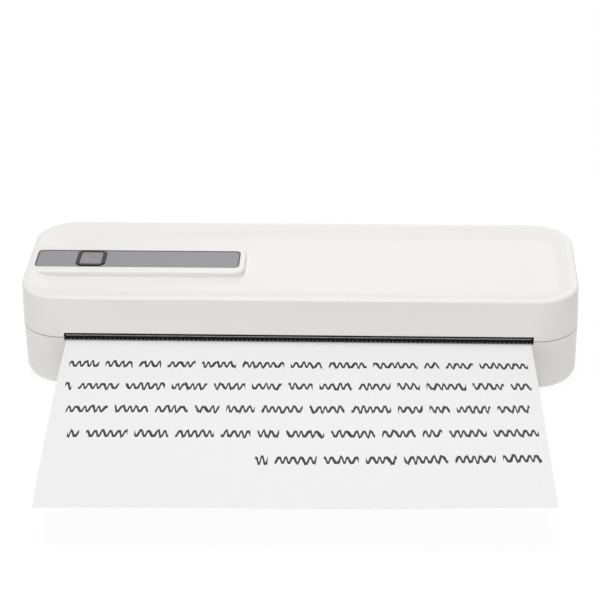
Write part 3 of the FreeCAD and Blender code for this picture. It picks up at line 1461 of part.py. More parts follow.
def head_lever():
    """The head release lever: an off-centre cam on a stud, and outside it an arm with a finger tab."""
    stud = (lever_y, lever_z)
    layer = (-lever_outside, -lever_middle)
    half = s.lever_arm_height / 2
    end_y = lever_y - s.lever_arm
    heights = (lever_z - half, lever_z + half)
    cam = rod("lever_cam", "x", (lever_y - s.lever_eccentric, lever_z), (-lever_middle, -lever_inside),
              s.cam_radius)
    hub = rod("lever_hub", "x", stud, layer, s.lever_hub_radius)
    arm = block("lever_bar", layer, (end_y, lever_y), heights)
    tab = block("lever_tab", (layer[0] - s.lever_tab, layer[1]),
                (end_y, end_y + s.lever_tab_thickness), heights)
    bore = rod("lever_bore", "x", stud, (layer[0] - s.overrun, s.overrun - lever_inside),
               s.lever_stud_radius + s.fit_gap)
    return carved("head_lever", joined("lever_solid", [cam, hub, arm, tab]), [bore])


def lever_stud():
    """The stud that the lever turns on, riveted into the left side plate."""
    return rod("lever_stud", "x", (lever_y, lever_z), (-(lever_outside + s.running_gap), -plate_inside),
               s.lever_stud_radius)


def cell_ends():
    """Where the cradles stand along X."""
    first = cell_start
    second = first + s.cell_length + s.cell_gap
    return (first + s.cradle_inset, first + s.cell_length - s.cradle_inset,
            second + s.cradle_inset, second + s.cell_length - s.cradle_inset)


def battery_cell(name, start):
    """A round cell with its raised cap."""
    centre = (cell_y, cell_z)
    can = rod(name + "_can", "x", centre, (start + s.cell_cap_height, start + s.cell_length), s.cell_radius)
    cap = rod(name + "_cap", "x", centre, (start, start + s.cell_cap_height), s.cell_cap_radius)
    return joined(name, [can, cap])


def main_board_posts():
    """Where the main board's posts stand along X."""
    return (main_board_start + s.board_post_inset, main_board_end - s.board_post_inset)


def main_board():
    """The main circuit board on its posts, under the platen."""
    half = s.main_board_depth / 2
    return block("main_board", (main_board_start, main_board_end), (main_board_y - half, main_board_y + half),
                 (s.main_board_height, s.main_board_height + s.board_thickness))


def board_chips():
    """The larger parts on the main board: chips, a coil and connectors."""
    seat = s.main_board_height + s.board_thickness
    length = s.main_board_length
    chips = []
    for centre_share, length_share, height_share in CHIP_SHARES:
        centre = main_board_start + length * centre_share
        half = length * length_share / 2
        chips.append(block("board_chip", (centre - half, centre + half),
                           (main_board_y - s.chip_depth / 2, main_board_y + s.chip_depth / 2),
                           (seat, seat + s.chip_height * height_share)))
    return group("board_chips", chips)


def socket_board_posts():
    """Where the socket board's posts stand along Y."""
    inset = s.board_post / 2 + s.fit_gap
    half = s.socket_board_depth / 2
    return (s.socket_y - half + inset, s.socket_y + half - inset)


def socket_board():
    """The small board behind the charging socket."""
    half = s.socket_board_depth / 2
    left = s.wall + s.socket_board_gap - half_length
    return block("socket_board", (left, left + s.socket_board_length), (s.socket_y - half, s.socket_y + half),
                 (s.socket_board_height, s.socket_board_height + s.board_thickness))


def charging_socket():
    """The charging socket: a steel shell with round ends and a tongue inside."""
    left = s.socket_setback - half_length
    right = left + s.socket_length
    half_wide = s.socket_width / 2
    half_high = s.socket_height / 2

    def ends(trim):
        """The socket's outline, drawn in by a trim."""
        return rounded((s.socket_y - half_wide + trim, s.socket_y + half_wide - trim),
                       (socket_z - half_high + trim, socket_z + half_high - trim),
                       (half_high - trim) * ROUND_END_SHARE)

    shell = prism("socket_shell", "YZ", ends(ZERO), (left, right))
    mouth = prism("socket_mouth", "YZ", ends(s.socket_wall), (left - s.overrun, right - s.overrun))
    tongue_half = half_wide - s.socket_height / 2
    tongue = block("socket_tongue", (left + s.overrun, right - s.overrun / 2),
                   (s.socket_y - tongue_half, s.socket_y + tongue_half),
                   (socket_z - s.socket_tongue / 2, socket_z + s.socket_tongue / 2))
    return joined("charging_socket", [carved("socket_can", shell, [mouth]), tongue])


def charge_lens():
    """The light guide beside the socket."""
    left = s.seat_gap - half_length
    return rod("charge_lens", "x", (s.socket_y + s.lens_offset, socket_z), (left, left + s.lens_length),
               s.lens_radius)


phases = mesh_phases()
web_points_made = web_points()
bend_height = web_points_made["bend"][1] - head_low
driver_reach = s.web_bend - s.paper_thickness - s.driver_clearance
driver_back_y = place("driver_back_y", web_points_made["bend"][0]
                      + root_of(driver_reach * driver_reach - bend_height * bend_height))

keep("base_shell", base_shell())
keep("rubber_feet", rubber_feet())
keep("base_screws", base_screws())
keep("base_magnets", magnets("base_magnets", base_top - s.magnet_thickness))
keep("paper_bin", paper_bin())
keep("paper_sensor", paper_sensor())
keep("side_plate_left", side_plate("side_plate_left", -1))
keep("side_plate_right", side_plate("side_plate_right", 1))
keep("cross_beam", cross_beam())
keep("head_spring", head_spring())
keep("head_pivot_rod", head_pivot_rod())
keep("platen_bushings", platen_bushings())
keep("lever_stud", lever_stud())
keep("feed_motor", feed_motor())
keep("idler_stud", idler_stud())
keep("battery_cell_left", battery_cell("battery_cell_left", cell_start))
keep("battery_cell_right", battery_cell("battery_cell_right", cell_start + s.cell_length + s.cell_gap))
keep("main_board", main_board())
keep("board_chips", board_chips())
keep("socket_board", socket_board())
keep("charging_socket", charging_socket())
keep("charge_lens", charge_lens())
keep("hinge_pins", hinge_pins())
keep("paper_web", paper_web())
keep("platen_roller", platen_roller())
keep("platen_shaft", platen_shaft())
keep("shaft_clip", shaft_clip())
keep("platen_gear", platen_gear())
keep("idler_gear", idler_gear())
keep("motor_shaft", motor_shaft())
keep("motor_pinion", motor_pinion())
keep("paper_roll", paper_roll())
keep("roll_core", roll_core())
keep("print_head", print_head())
keep("head_heat_sink", heat_sink())
keep("driver_cover", driver_cover())
keep("lift_pin", lift_pin())
keep("head_lever", head_lever())
keep("cover_shell", cover_shell())
keep("control_panel", control_panel())
keep("button_bezel", button_bezel())
keep("tear_blade", tear_blade())
keep("cover_magnets", magnets("cover_magnets", cover_low + s.seat_gap))
keep("switch_board", switch_board())
keep("tact_switch", tact_switch())
keep("power_button", power_button())
keep("switch_plunger", switch_plunger())

doc.recompute()
for item in doc.Objects:
    if "Invalid" in item.State or "Error" in item.State:
        raise ValueError(f"{item.Label} did not recompute: {item.State}")
os.makedirs("parts", exist_ok=True)
for node, item in made.items():
    shape = item.Shape
    if shape.isNull() or not shape.isValid() or not shape.Solids:
        raise ValueError(f"{node} has no sound shape")
    shape.exportStep(f"parts/{node}.step")
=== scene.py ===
import json
import math

import bmesh
import bpy
import numpy as np
from mathutils import Matrix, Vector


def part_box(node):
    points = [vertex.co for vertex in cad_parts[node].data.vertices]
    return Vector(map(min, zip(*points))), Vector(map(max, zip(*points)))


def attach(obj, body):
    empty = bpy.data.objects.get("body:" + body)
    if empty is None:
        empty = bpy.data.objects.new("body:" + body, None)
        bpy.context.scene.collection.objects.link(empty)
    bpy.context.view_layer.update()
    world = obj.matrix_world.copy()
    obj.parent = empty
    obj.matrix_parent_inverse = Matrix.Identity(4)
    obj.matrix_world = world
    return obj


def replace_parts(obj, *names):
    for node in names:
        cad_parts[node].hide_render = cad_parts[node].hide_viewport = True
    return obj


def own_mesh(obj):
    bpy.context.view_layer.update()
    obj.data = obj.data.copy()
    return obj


MM = 0.001

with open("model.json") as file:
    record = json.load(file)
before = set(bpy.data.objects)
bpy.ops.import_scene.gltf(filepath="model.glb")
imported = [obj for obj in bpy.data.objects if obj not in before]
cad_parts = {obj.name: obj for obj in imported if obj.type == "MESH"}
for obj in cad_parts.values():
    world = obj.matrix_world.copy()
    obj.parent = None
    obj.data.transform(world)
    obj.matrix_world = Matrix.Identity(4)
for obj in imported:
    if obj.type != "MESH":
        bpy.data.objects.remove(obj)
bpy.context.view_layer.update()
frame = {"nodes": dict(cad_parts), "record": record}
nodes = frame["nodes"]


# Colours and nodes

# Blender's noise hardly leaves this range, which is spread over a gloss 0.05 to each side of a finish's own.
NOISE_LOW, NOISE_HIGH = 0.3, 0.7
GLOSS_SWING = 0.05

# The Mix node's two colours by number, because its sockets share their names with those for plain values.
FIRST_COLOUR, SECOND_COLOUR, MIXED_COLOUR = 6, 7, 2


def linear(hex_colour):
    """An sRGB hex colour as the linear colour that sockets take."""
    channels = [int(hex_colour[i:i + 2], 16) / 255 for i in (1, 3, 5)]
    curve = [c / 12.92 if c <= 0.04045 else ((c + 0.055) / 1.055) ** 2.4 for c in channels]
    return (*curve, 1.0)


def add(tree, kind, settings=None, inputs=None):
    """Adds a node, sets its properties, and sets or links its inputs by name or index.

    A node given as an input is linked by its first output.
    """
    made = tree.nodes.new(kind)
    for key, value in (settings or {}).items():
        setattr(made, key, value)
    for key, value in (inputs or {}).items():
        socket = made.inputs[key]
        if isinstance(value, bpy.types.Node):
            value = value.outputs[0]
        if isinstance(value, bpy.types.NodeSocket):
            tree.links.new(value, socket)
        else:
            socket.default_value = value
    return made


def new_material(name):
    """An empty node material, its tree, and its coordinates in metres."""
    material = bpy.data.materials.new(name)
    material.use_nodes = True
    tree = material.node_tree
    tree.nodes.clear()
    place = add(tree, "ShaderNodeTexCoord").outputs["Object"]
    return material, tree, place


def finish(name, colour, shade, roughness, patch_mm, grain_mm, grain_depth_mm, metallic=0.0,
           stretch=None, coat=0.0, subsurface=0.0, shine=0.5):
    """A surface of one stuff: two close colours in patches, a grain in its bump and in its gloss.

    Stretch is how dense the pattern is along each axis: under 1 draws it out, over 1 packs it.
    """
    material, tree, place = new_material(name)
    if stretch is not None:
        place = add(tree, "ShaderNodeMapping", inputs={"Vector": place, "Scale": stretch})
    patches = add(tree, "ShaderNodeTexNoise", inputs={
        "Vector": place, "Scale": 1 / (patch_mm * MM), "Detail": 3.0})
    grain = add(tree, "ShaderNodeTexNoise", inputs={
        "Vector": place, "Scale": 1 / (grain_mm * MM), "Detail": 1.0})
    tone = add(tree, "ShaderNodeMix", {"data_type": "RGBA"}, {
        "Factor": patches, FIRST_COLOUR: linear(colour), SECOND_COLOUR: linear(shade)})
    gloss = add(tree, "ShaderNodeMapRange", inputs={
        "Value": grain, "From Min": NOISE_LOW, "From Max": NOISE_HIGH,
        "To Min": roughness - GLOSS_SWING, "To Max": roughness + GLOSS_SWING})
    relief = add(tree, "ShaderNodeBump", inputs={"Height": grain, "Distance": grain_depth_mm * MM})
    shader = add(tree, "ShaderNodeBsdfPrincipled", inputs={
        "Base Color": tone.outputs[MIXED_COLOUR],
        "Roughness": gloss,
        "Metallic": metallic,
        "Specular IOR Level": shine,
        "Coat Weight": coat,
        "Subsurface Weight": subsurface,
        "Normal": relief,
    })
    if subsurface:
        shader.inputs["Subsurface Scale"].default_value = MM
        shader.inputs["Subsurface Radius"].default_value = (1.0, 1.0, 0.9)
    add(tree, "ShaderNodeOutputMaterial", inputs={"Surface": shader})
    return material


# White ABS from a spark-eroded mould: a fine even grain that takes the shine off the rims.
housing_abs = finish("moulded_white_abs", "#efeeec", "#f1f0ee", 0.32, 40, 0.35, 0.004, shine=0.35)
# Soft rubber of the feet, and of the dark bands of painted shade in the parting gap, moulded dull: no clear
# reflection at all.
foot_rubber = finish("moulded_foot_rubber", "#2c2c2c", "#343434", 0.85, 6, 0.5, 0.02)
# Zinc-plated screws, barrel plated: bright, with a faint blotchy haze.
screw_zinc = finish("plated_screw_zinc", "#b9bcc0", "#a7aab0", 0.32, 1.5, 0.25, 0.004, metallic=1.0)
# Nickel-plated magnets, sintered and plated: a clear, slightly rounded shine.
magnet_nickel = finish("plated_magnet_nickel", "#c9c8c5", "#bdbcb9", 0.2, 2, 0.4, 0.002, metallic=1.0)
# Dark ABS of the inner mouldings: the same mould grain as the housing.
inner_abs = finish("moulded_dark_abs", "#3a3b3d", "#414245", 0.5, 25, 0.4, 0.008)
# Black polycarbonate of the tear bar and small mouldings: satin, nearly even.
black_polycarbonate = finish("moulded_black_polycarbonate", "#070707", "#0b0b0c", 0.5, 8, 0.3, 0.005,
                             shine=0.1)
# Rolled and zinc-plated sheet steel: a soft sheen drawn out along the strip.
sheet_steel = finish("rolled_sheet_steel", "#b4b6b8", "#a6a8ab", 0.36, 8, 0.5, 0.004, metallic=1.0,
                     stretch=(0.15, 1.0, 1.0))
# Hardened spring strip, darker than the sheet.
spring_steel = finish("rolled_spring_steel", "#8c8d90", "#7d7e82", 0.3, 5, 0.4, 0.003, metallic=1.0,
                      stretch=(0.15, 1.0, 1.0))
# Ground steel of the shafts and the saw strip: fine rings round a bar, a sharp highlight along it.
ground_steel = finish("ground_shaft_steel", "#c6c8ca", "#b8babd", 0.18, 1.2, 0.15, 0.001, metallic=1.0,
                      stretch=(6.0, 1.0, 1.0))
# The motor's deep-drawn and plated can: smooth, with a soft sheen.
motor_steel = finish("drawn_motor_steel", "#a5a6a8", "#98999c", 0.3, 6, 0.5, 0.003, metallic=1.0)
# PVC shrink wrap on the cells: glossy and slightly wavy.
cell_wrap = finish("shrunk_cell_wrap", "#2b5a8c", "#2f6196", 0.22, 12, 5.0, 0.03)
# Stainless socket shell, drawn and tumbled: bright, its edges a little soft.
socket_steel = finish("drawn_socket_steel", "#c4c5c7", "#b6b7ba", 0.24, 2, 0.3, 0.002, metallic=1.0)
# Milky polycarbonate light guide, moulded: light spreads a little way inside it.
lens_polycarbonate = finish("moulded_light_guide", "#e4e8ea", "#eceff0", 0.2, 2, 0.5, 0.002, subsurface=0.4)
# Ground silicone rubber of the platen: matte, with the grinding wheel's fine rings.
roller_rubber = finish("ground_platen_rubber", "#242425", "#2b2b2c", 0.7, 3, 0.3, 0.006,
                       stretch=(5.0, 1.0, 1.0))
# Natural acetal gears, moulded: waxy off-white.
gear_acetal = finish("moulded_gear_acetal", "#e6e2d6", "#dedacd", 0.38, 3, 0.4, 0.004, subsurface=0.2)
# Brass pinion with hobbed teeth: warm, with a cut shine.
pinion_brass = finish("hobbed_brass", "#cfa95b", "#c19a4d", 0.25, 1.5, 0.2, 0.003, metallic=1.0)
# Spirally wound grey-brown core board: dull, its fibres drawn out along the core. Small parts share it.
core_board = finish("wound_core_board", "#a98c66", "#9a7e5a", 0.85, 3, 0.3, 0.03, stretch=(0.4, 1.0, 1.0))
# Glazed alumina of the print head: pale and glassy.
head_ceramic = finish("glazed_head_alumina", "#ddd7c8", "#e3ddd0", 0.12, 10, 1.0, 0.001, coat=0.3)
# Extruded aluminium heat sink: die lines along its length.
sink_aluminium = finish("extruded_aluminium", "#c9cbce", "#bbbdc1", 0.34, 1.0, 0.15, 0.004, metallic=1.0,
                        stretch=(0.02, 1.0, 1.0))
# Green acetal of the lever that a user turns, moulded: even, with a soft shine.
lever_acetal = finish("moulded_green_acetal", "#2c7a4c", "#317f52", 0.4, 5, 0.4, 0.005)
# Black button frame, from a finely polished mould: a low satin gloss.
frame_black = finish("moulded_black_abs", "#080808", "#0c0c0d", 0.35, 8, 1.0, 0.001, shine=0.3)
# Button cap, painted a warmer grey than the strip.
cap_grey = finish("painted_button_cap", "#847f82", "#888386", 0.36, 6, 0.25, 0.003)
# Gold-flashed contacts: bright and warm, nearly without grain.
contact_gold = finish("gold_flashed_contact", "#d9b25a", "#cfa650", 0.2, 1.0, 0.2, 0.001, metallic=1.0)
# White nylon of the plug headers, moulded: slightly see-through at the edges.
header_nylon = finish("moulded_header_nylon", "#ece9de", "#e6e2d5", 0.45, 3, 0.3, 0.004, subsurface=0.2)
# Bright tin on the small parts' ends and solder joints, reflowed.
solder_tin = finish("reflowed_solder_tin", "#c7c9cb", "#b3b5b8", 0.28, 0.8, 0.2, 0.003, metallic=1.0)
# Pressed insulator board of the cells' end rings: dull and pale.
insulator_paper = finish("pressed_insulator_board", "#dfe3df", "#d3d8d3", 0.75, 2, 0.25, 0.01)


def circuit_board():
    """Glass epoxy under green solder mask: tracks show as slightly lighter lines, 5 and 2.5 mm apart."""
    material, tree, place = new_material("solder_masked_board")
    tracks = add(tree, "ShaderNodeTexBrick", {"offset": 0.35, "squash": 0.6}, {
        "Vector": place, "Scale": 1 / (10 * MM), "Mortar Size": 0.03, "Bias": 0.0,
        "Color1": linear("#14512d"), "Color2": linear("#165a32"), "Mortar": linear("#2f7d4e")})
    blotch = add(tree, "ShaderNodeTexNoise", inputs={"Vector": place, "Scale": 1 / (6 * MM), "Detail": 2.0})
    share = add(tree, "ShaderNodeMapRange", inputs={
        "Value": blotch, "From Min": NOISE_LOW, "From Max": NOISE_HIGH, "To Min": 0.0, "To Max": 0.2})
    tone = add(tree, "ShaderNodeMix", {"data_type": "RGBA"}, {
        "Factor": share, FIRST_COLOUR: tracks.outputs["Color"], SECOND_COLOUR: linear("#0f3f24")})
    relief = add(tree, "ShaderNodeBump", inputs={"Height": tracks.outputs["Fac"], "Distance": 0.03 * MM})
    shader = add(tree, "ShaderNodeBsdfPrincipled", inputs={
        "Base Color": tone.outputs[MIXED_COLOUR],
        "Roughness": 0.25,
        "Coat Weight": 0.4,
        "Normal": relief,
    })
    add(tree, "ShaderNodeOutputMaterial", inputs={"Surface": shader})
    return material


def thermal_paper():
    """Coated thermal paper: bright, smooth, and barely mottled."""
    material, tree, place = new_material("coated_thermal_paper")
    fibres = add(tree, "ShaderNodeTexNoise", inputs={"Vector": place, "Scale": 1 / (0.8 * MM), "Detail": 4.0})
    tone = add(tree, "ShaderNodeMix", {"data_type": "RGBA"}, {
        "Factor": fibres, FIRST_COLOUR: linear("#f6f6f7"), SECOND_COLOUR: linear("#fafafb")})
    relief = add(tree, "ShaderNodeBump", inputs={"Height": fibres, "Distance": 0.01 * MM})
    shader = add(tree, "ShaderNodeBsdfPrincipled", inputs={
        "Base Color": tone.outputs[MIXED_COLOUR],
        "Roughness": 0.6,
        "Normal": relief,
    })
    add(tree, "ShaderNodeOutputMaterial", inputs={"Surface": shader})
    return material


def printed_paper():
    """Thermal paper with five printed rows, each a wavy line broken into word lengths, without letters.

    The sheet's attribute printed_at gives its own flat coordinates in mm: X across, Y along, and Z over 0 on
    the printed face. A row's line has the height: tallness times reach times the sine of its turn, and the
    turn is wave_turn times X plus a slow sway. Ink lies within half_line of it, measured square to it. A word
    ends where the edge of a random cell, word_length long on average, is near.
    """
    first_row, row_pitch, last_row = -59.2, 18.25, 4.0
    left_end, left_step, last_shift, right_end = -103.4, 2.5, 77.1, 101.8
    wave_turn, sway_turn, tallness, steepness, half_line = 1.95, 4.5, 1.65, 2.0, 0.5
    tall_share, tall_extra, row_noise, sway_scale, rise_scale = 0.58, 0.35, 7.3, 0.25, 0.5
    word_length, word_start, row_words, half_gap = 17.0, 0.12, 17.3, 0.085
    maths = "ShaderNodeMath"
    minus, times, over = {"operation": "SUBTRACT"}, {"operation": "MULTIPLY"}, {"operation": "DIVIDE"}
    times_plus, more_than = {"operation": "MULTIPLY_ADD"}, {"operation": "GREATER_THAN"}
    material, tree, place = new_material("printed_thermal_paper")
    flat = add(tree, "ShaderNodeAttribute", {"attribute_name": "printed_at"}).outputs["Vector"]
    x, y, side = add(tree, "ShaderNodeSeparateXYZ", inputs={"Vector": flat}).outputs

    # The nearest row's number, and the height over it.
    past_first = add(tree, maths, minus, {0: first_row, 1: y})
    along = add(tree, maths, over, {0: past_first, 1: row_pitch})
    nearest = add(tree, maths, {"operation": "ROUND"}, {0: along})
    from_first = add(tree, maths, {"operation": "MAXIMUM"}, {0: nearest, 1: 0.0})
    row = add(tree, maths, {"operation": "MINIMUM"}, {0: from_first, 1: last_row})
    rows_off = add(tree, maths, minus, {0: row, 1: along})
    height = add(tree, maths, times, {0: rows_off, 1: row_pitch})

    # The wavy line, from its height and its slope.
    row_place = add(tree, maths, times, {0: row, 1: row_noise})
    cell = add(tree, "ShaderNodeCombineXYZ", inputs={"X": x, "Y": row_place})
    sway = add(tree, "ShaderNodeTexNoise", inputs={"Vector": cell, "Scale": sway_scale, "Detail": 0.0})
    rise = add(tree, "ShaderNodeTexNoise", inputs={"Vector": cell, "Scale": rise_scale, "Detail": 0.0})
    swayed = add(tree, maths, times, {0: sway, 1: sway_turn})
    turn = add(tree, maths, times_plus, {0: x, 1: wave_turn, 2: swayed})
    tall = add(tree, maths, more_than, {0: rise, 1: tall_share})
    reach = add(tree, maths, times_plus, {0: tall, 1: tall_extra, 2: 1.0})
    sine = add(tree, maths, {"operation": "SINE"}, {0: turn})
    wave = add(tree, maths, times, {0: reach, 1: sine})
    flattened = add(tree, maths, over, {0: height, 1: tallness})
    offset = add(tree, maths, minus, {0: flattened, 1: wave})
    apart = add(tree, maths, {"operation": "ABSOLUTE"}, {0: offset})
    cosine = add(tree, maths, {"operation": "COSINE"}, {0: turn})
    reach_slope = add(tree, maths, times, {0: reach, 1: steepness})
    slope = add(tree, maths, times, {0: reach_slope, 1: cosine})
    slope_square = add(tree, maths, times_plus, {0: slope, 1: slope, 2: 1.0})
    steep = add(tree, maths, {"operation": "SQRT"}, {0: slope_square})
    square_off = add(tree, maths, over, {0: apart, 1: steep})
    line = add(tree, maths, {"operation": "LESS_THAN"}, {0: square_off, 1: half_line})

    # The word gaps, the rows' two ends, and the printed face.
    word_place = add(tree, maths, times_plus, {0: x, 1: 1 / word_length, 2: word_start})
    word_cell = add(tree, maths, times_plus, {0: row, 1: row_words, 2: word_place})
    cells = add(tree, "ShaderNodeTexVoronoi", {"voronoi_dimensions": "1D", "feature": "DISTANCE_TO_EDGE"}, {
        "W": word_cell, "Scale": 1.0})
    word = add(tree, maths, more_than, {0: cells.outputs["Distance"], 1: half_gap})
    is_last = add(tree, maths, more_than, {0: row, 1: last_row - 0.5})
    row_left = add(tree, maths, times_plus, {0: row, 1: left_step, 2: left_end})
    left = add(tree, maths, times_plus, {0: is_last, 1: last_shift, 2: row_left})
    after_left = add(tree, maths, more_than, {0: x, 1: left})
    before_right = add(tree, maths, {"operation": "LESS_THAN"}, {0: x, 1: right_end})
    upper = add(tree, maths, more_than, {0: side, 1: 0.0})
    written = add(tree, maths, times, {0: line, 1: word})
    inside = add(tree, maths, times, {0: after_left, 1: before_right})
    printed = add(tree, maths, times, {0: inside, 1: upper})
    ink = add(tree, maths, times, {0: written, 1: printed})

    fibres = add(tree, "ShaderNodeTexNoise", inputs={"Vector": place, "Scale": 1 / (0.8 * MM), "Detail": 4.0})
    paper = add(tree, "ShaderNodeMix", {"data_type": "RGBA"}, {
        "Factor": fibres, FIRST_COLOUR: linear("#f1f1f1"), SECOND_COLOUR: linear("#f5f5f5")})
    tone = add(tree, "ShaderNodeMix", {"data_type": "RGBA"}, {
        "Factor": ink, FIRST_COLOUR: paper.outputs[MIXED_COLOUR], SECOND_COLOUR: linear("#0c0c0e")})
    relief = add(tree, "ShaderNodeBump", inputs={"Height": fibres, "Distance": 0.008 * MM})
    shader = add(tree, "ShaderNodeBsdfPrincipled", inputs={
        "Base Color": tone.outputs[MIXED_COLOUR],
        "Roughness": 0.55,
        "Normal": relief,
    })
    add(tree, "ShaderNodeOutputMaterial", inputs={"Surface": shader})
    return material


def wound_paper():
    """The roll's paper: plain round its outside, with the windings' fine rings on both ends."""
    material, tree, place = new_material("wound_thermal_paper")
    low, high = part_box("paper_roll")
    centre = [-(low[i] + high[i]) / 2 for i in range(3)]
    from_axis = add(tree, "ShaderNodeVectorMath", {"operation": "ADD"}, {0: place, 1: centre})
    flat = add(tree, "ShaderNodeVectorMath", {"operation": "MULTIPLY"}, {0: from_axis, 1: (0.0, 1.0, 1.0)})
    rings = add(tree, "ShaderNodeTexWave", {"wave_type": "RINGS", "rings_direction": "SPHERICAL"}, {
        "Vector": flat, "Scale": 1 / (8 * MM), "Distortion": 1.5, "Detail": 2.0, "Detail Scale": 0.6})
    height = rings.outputs["Fac"]
    tone = add(tree, "ShaderNodeMix", {"data_type": "RGBA"}, {
        "Factor": height, FIRST_COLOUR: linear("#e3e2df"), SECOND_COLOUR: linear("#f5f5f4")})
    relief = add(tree, "ShaderNodeBump", inputs={"Height": height, "Distance": 0.03 * MM})
    shader = add(tree, "ShaderNodeBsdfPrincipled", inputs={
        "Base Color": tone.outputs[MIXED_COLOUR],
        "Roughness": 0.6,
        "Normal": relief,
    })
    add(tree, "ShaderNodeOutputMaterial", inputs={"Surface": shader})
    return material


def strip_with_painted_edge_shade():
    """The grey strip, painted satin, with painted shade along its edge: a darker line for the recess wall's
    shadow, 0.9 mm wide behind, 0.3 mm in front.

    The painted shade line is where the distance to a rectangle with 3 mm corners, set 0.3 mm forward, is over
    -0.6 mm.
    """
    corner, edge_shade_width, forward, roughness = 3.0 * MM, 0.6 * MM, 0.3 * MM, 0.45
    material, tree, place = new_material("satin_grey_strip_with_painted_edge_shade")
    low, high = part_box("control_panel")
    centre = [-(low[0] + high[0]) / 2, -(low[1] + high[1]) / 2 + forward, 0.0]
    inner = [corner - (high[0] - low[0]) / 2, corner - (high[1] - low[1]) / 2, -1.0]
    from_centre = add(tree, "ShaderNodeVectorMath", {"operation": "ADD"}, {0: place, 1: centre})
    apart = add(tree, "ShaderNodeVectorMath", {"operation": "ABSOLUTE"}, {0: from_centre})
    past_inner = add(tree, "ShaderNodeVectorMath", {"operation": "ADD"}, {0: apart, 1: inner})
    beyond = add(tree, "ShaderNodeVectorMath", {"operation": "MAXIMUM"}, {0: past_inner, 1: (0.0, 0.0, 0.0)})
    rounded = add(tree, "ShaderNodeVectorMath", {"operation": "LENGTH"}, {0: beyond}).outputs["Value"]
    # Painted shade mask: the band along the strip's edge where the recess wall's shadow is painted.
    line = add(tree, "ShaderNodeMath", {"operation": "GREATER_THAN"}, {0: rounded, 1: corner - edge_shade_width})
    grain = add(tree, "ShaderNodeTexNoise", inputs={"Vector": place, "Scale": 1 / (0.25 * MM), "Detail": 1.0})
    patches = add(tree, "ShaderNodeTexNoise", inputs={"Vector": place, "Scale": 1 / (30 * MM), "Detail": 3.0})
    grey = add(tree, "ShaderNodeMix", {"data_type": "RGBA"}, {
        "Factor": patches, FIRST_COLOUR: linear("#919093"), SECOND_COLOUR: linear("#949497")})
    # Painted shade: the recess wall's shadow as a darker line round the strip's edge, wider behind than in
    # front.
    tone = add(tree, "ShaderNodeMix", {"data_type": "RGBA"}, {
        "Factor": line, FIRST_COLOUR: grey.outputs[MIXED_COLOUR], SECOND_COLOUR: linear("#4f4f52")})
    gloss = add(tree, "ShaderNodeMapRange", inputs={
        "Value": grain, "From Min": NOISE_LOW, "From Max": NOISE_HIGH,
        "To Min": roughness - GLOSS_SWING, "To Max": roughness + GLOSS_SWING})
    relief = add(tree, "ShaderNodeBump", inputs={"Height": grain, "Distance": 0.003 * MM})
    shader = add(tree, "ShaderNodeBsdfPrincipled", inputs={
        "Base Color": tone.outputs[MIXED_COLOUR],
        "Roughness": gloss,
        "Specular IOR Level": 0.3,
        "Normal": relief,
    })
    add(tree, "ShaderNodeOutputMaterial", inputs={"Surface": shader})
    return material


FINISHES = {
    "housing": housing_abs,
    "foot_rubber": foot_rubber,
    "screw_steel": screw_zinc,
    "magnet": magnet_nickel,
    "inner_plastic": inner_abs,
    "black_plastic": black_polycarbonate,
    "sheet_steel": sheet_steel,
    "spring_steel": spring_steel,
    "shaft_steel": ground_steel,
    "motor_steel": motor_steel,
    "cell_wrap": cell_wrap,
    "circuit_board": circuit_board(),
    "socket_steel": socket_steel,
    "lens_plastic": lens_polycarbonate,
    "paper": thermal_paper(),
    "roller_rubber": roller_rubber,
    "gear_plastic": gear_acetal,
    "pinion_brass": pinion_brass,
    "core_card": core_board,
    "head_ceramic": head_ceramic,
    "sink_aluminium": sink_aluminium,
    "lever_plastic": lever_acetal,
    "panel_grey": strip_with_painted_edge_shade(),
    "black_gloss": frame_black,
    "button_grey": cap_grey,
}

slots = {row["node"]: row["material_slot"] for row in frame["record"]["subparts"]}
for name, item in nodes.items():
    item.data.materials.clear()
    item.data.materials.append(FINISHES[slots[name]])
nodes["paper_roll"].data.materials[0] = wound_paper()


# Surfaces as grids of numbers

# The three axes, as rows, of a form that stands, faces right or left, or hangs.
UPRIGHT = np.eye(3)
FACING_RIGHT = np.array([[0.0, 1.0, 0.0], [0.0, 0.0, 1.0], [1.0, 0.0, 0.0]])
FACING_LEFT = np.array([[0.0, 0.0, 1.0], [0.0, 1.0, 0.0], [-1.0, 0.0, 0.0]])
HANGING = np.array([[1.0, 0.0, 0.0], [0.0, -1.0, 0.0], [0.0, 0.0, -1.0]])


def mm_box(node):
    """A node's lowest and highest corners in mm."""
    low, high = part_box(node)
    return np.array(low) / MM, np.array(high) / MM


def grid_faces(rows, columns):
    """Index quads of a grid of points that closes round its columns."""
    row = np.arange(rows - 1)[:, None]
    column = np.arange(columns)[None, :]
    after = (column + 1) % columns
    quads = np.stack([row * columns + column, row * columns + after,
                      (row + 1) * columns + after, (row + 1) * columns + column], axis=-1)
    return quads.reshape(-1, 4)


def new_piece(name, points, faces, material, body, smooth=True):
    """A mesh object from points in metres and faces, its doubles merged, riding on a body."""
    mesh = bpy.data.meshes.new(name)
    mesh.from_pydata(points.tolist(), [], faces if isinstance(faces, list) else faces.tolist())
    work = bmesh.new()
    work.from_mesh(mesh)
    bmesh.ops.remove_doubles(work, verts=work.verts, dist=1e-7)
    work.to_mesh(mesh)
    work.free()
    mesh.materials.append(material)
    if smooth:
        mesh.shade_smooth()
        mesh.set_sharp_from_angle(angle=math.radians(35))
    piece = bpy.data.objects.new(name, mesh)
    bpy.context.scene.collection.objects.link(piece)
    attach(piece, body)
    return piece


def repeated(points, faces, copies):
    """Points and faces of a form set down many times: copies is a list of (origin, three axes)."""
    placed = np.concatenate([points @ np.array(axes, float) + np.array(origin, float)
                             for origin, axes in copies])
    shifts = np.repeat(np.arange(len(copies)) * len(points), len(faces))[:, None]
    return placed, np.tile(faces, (len(copies), 1)) + shifts


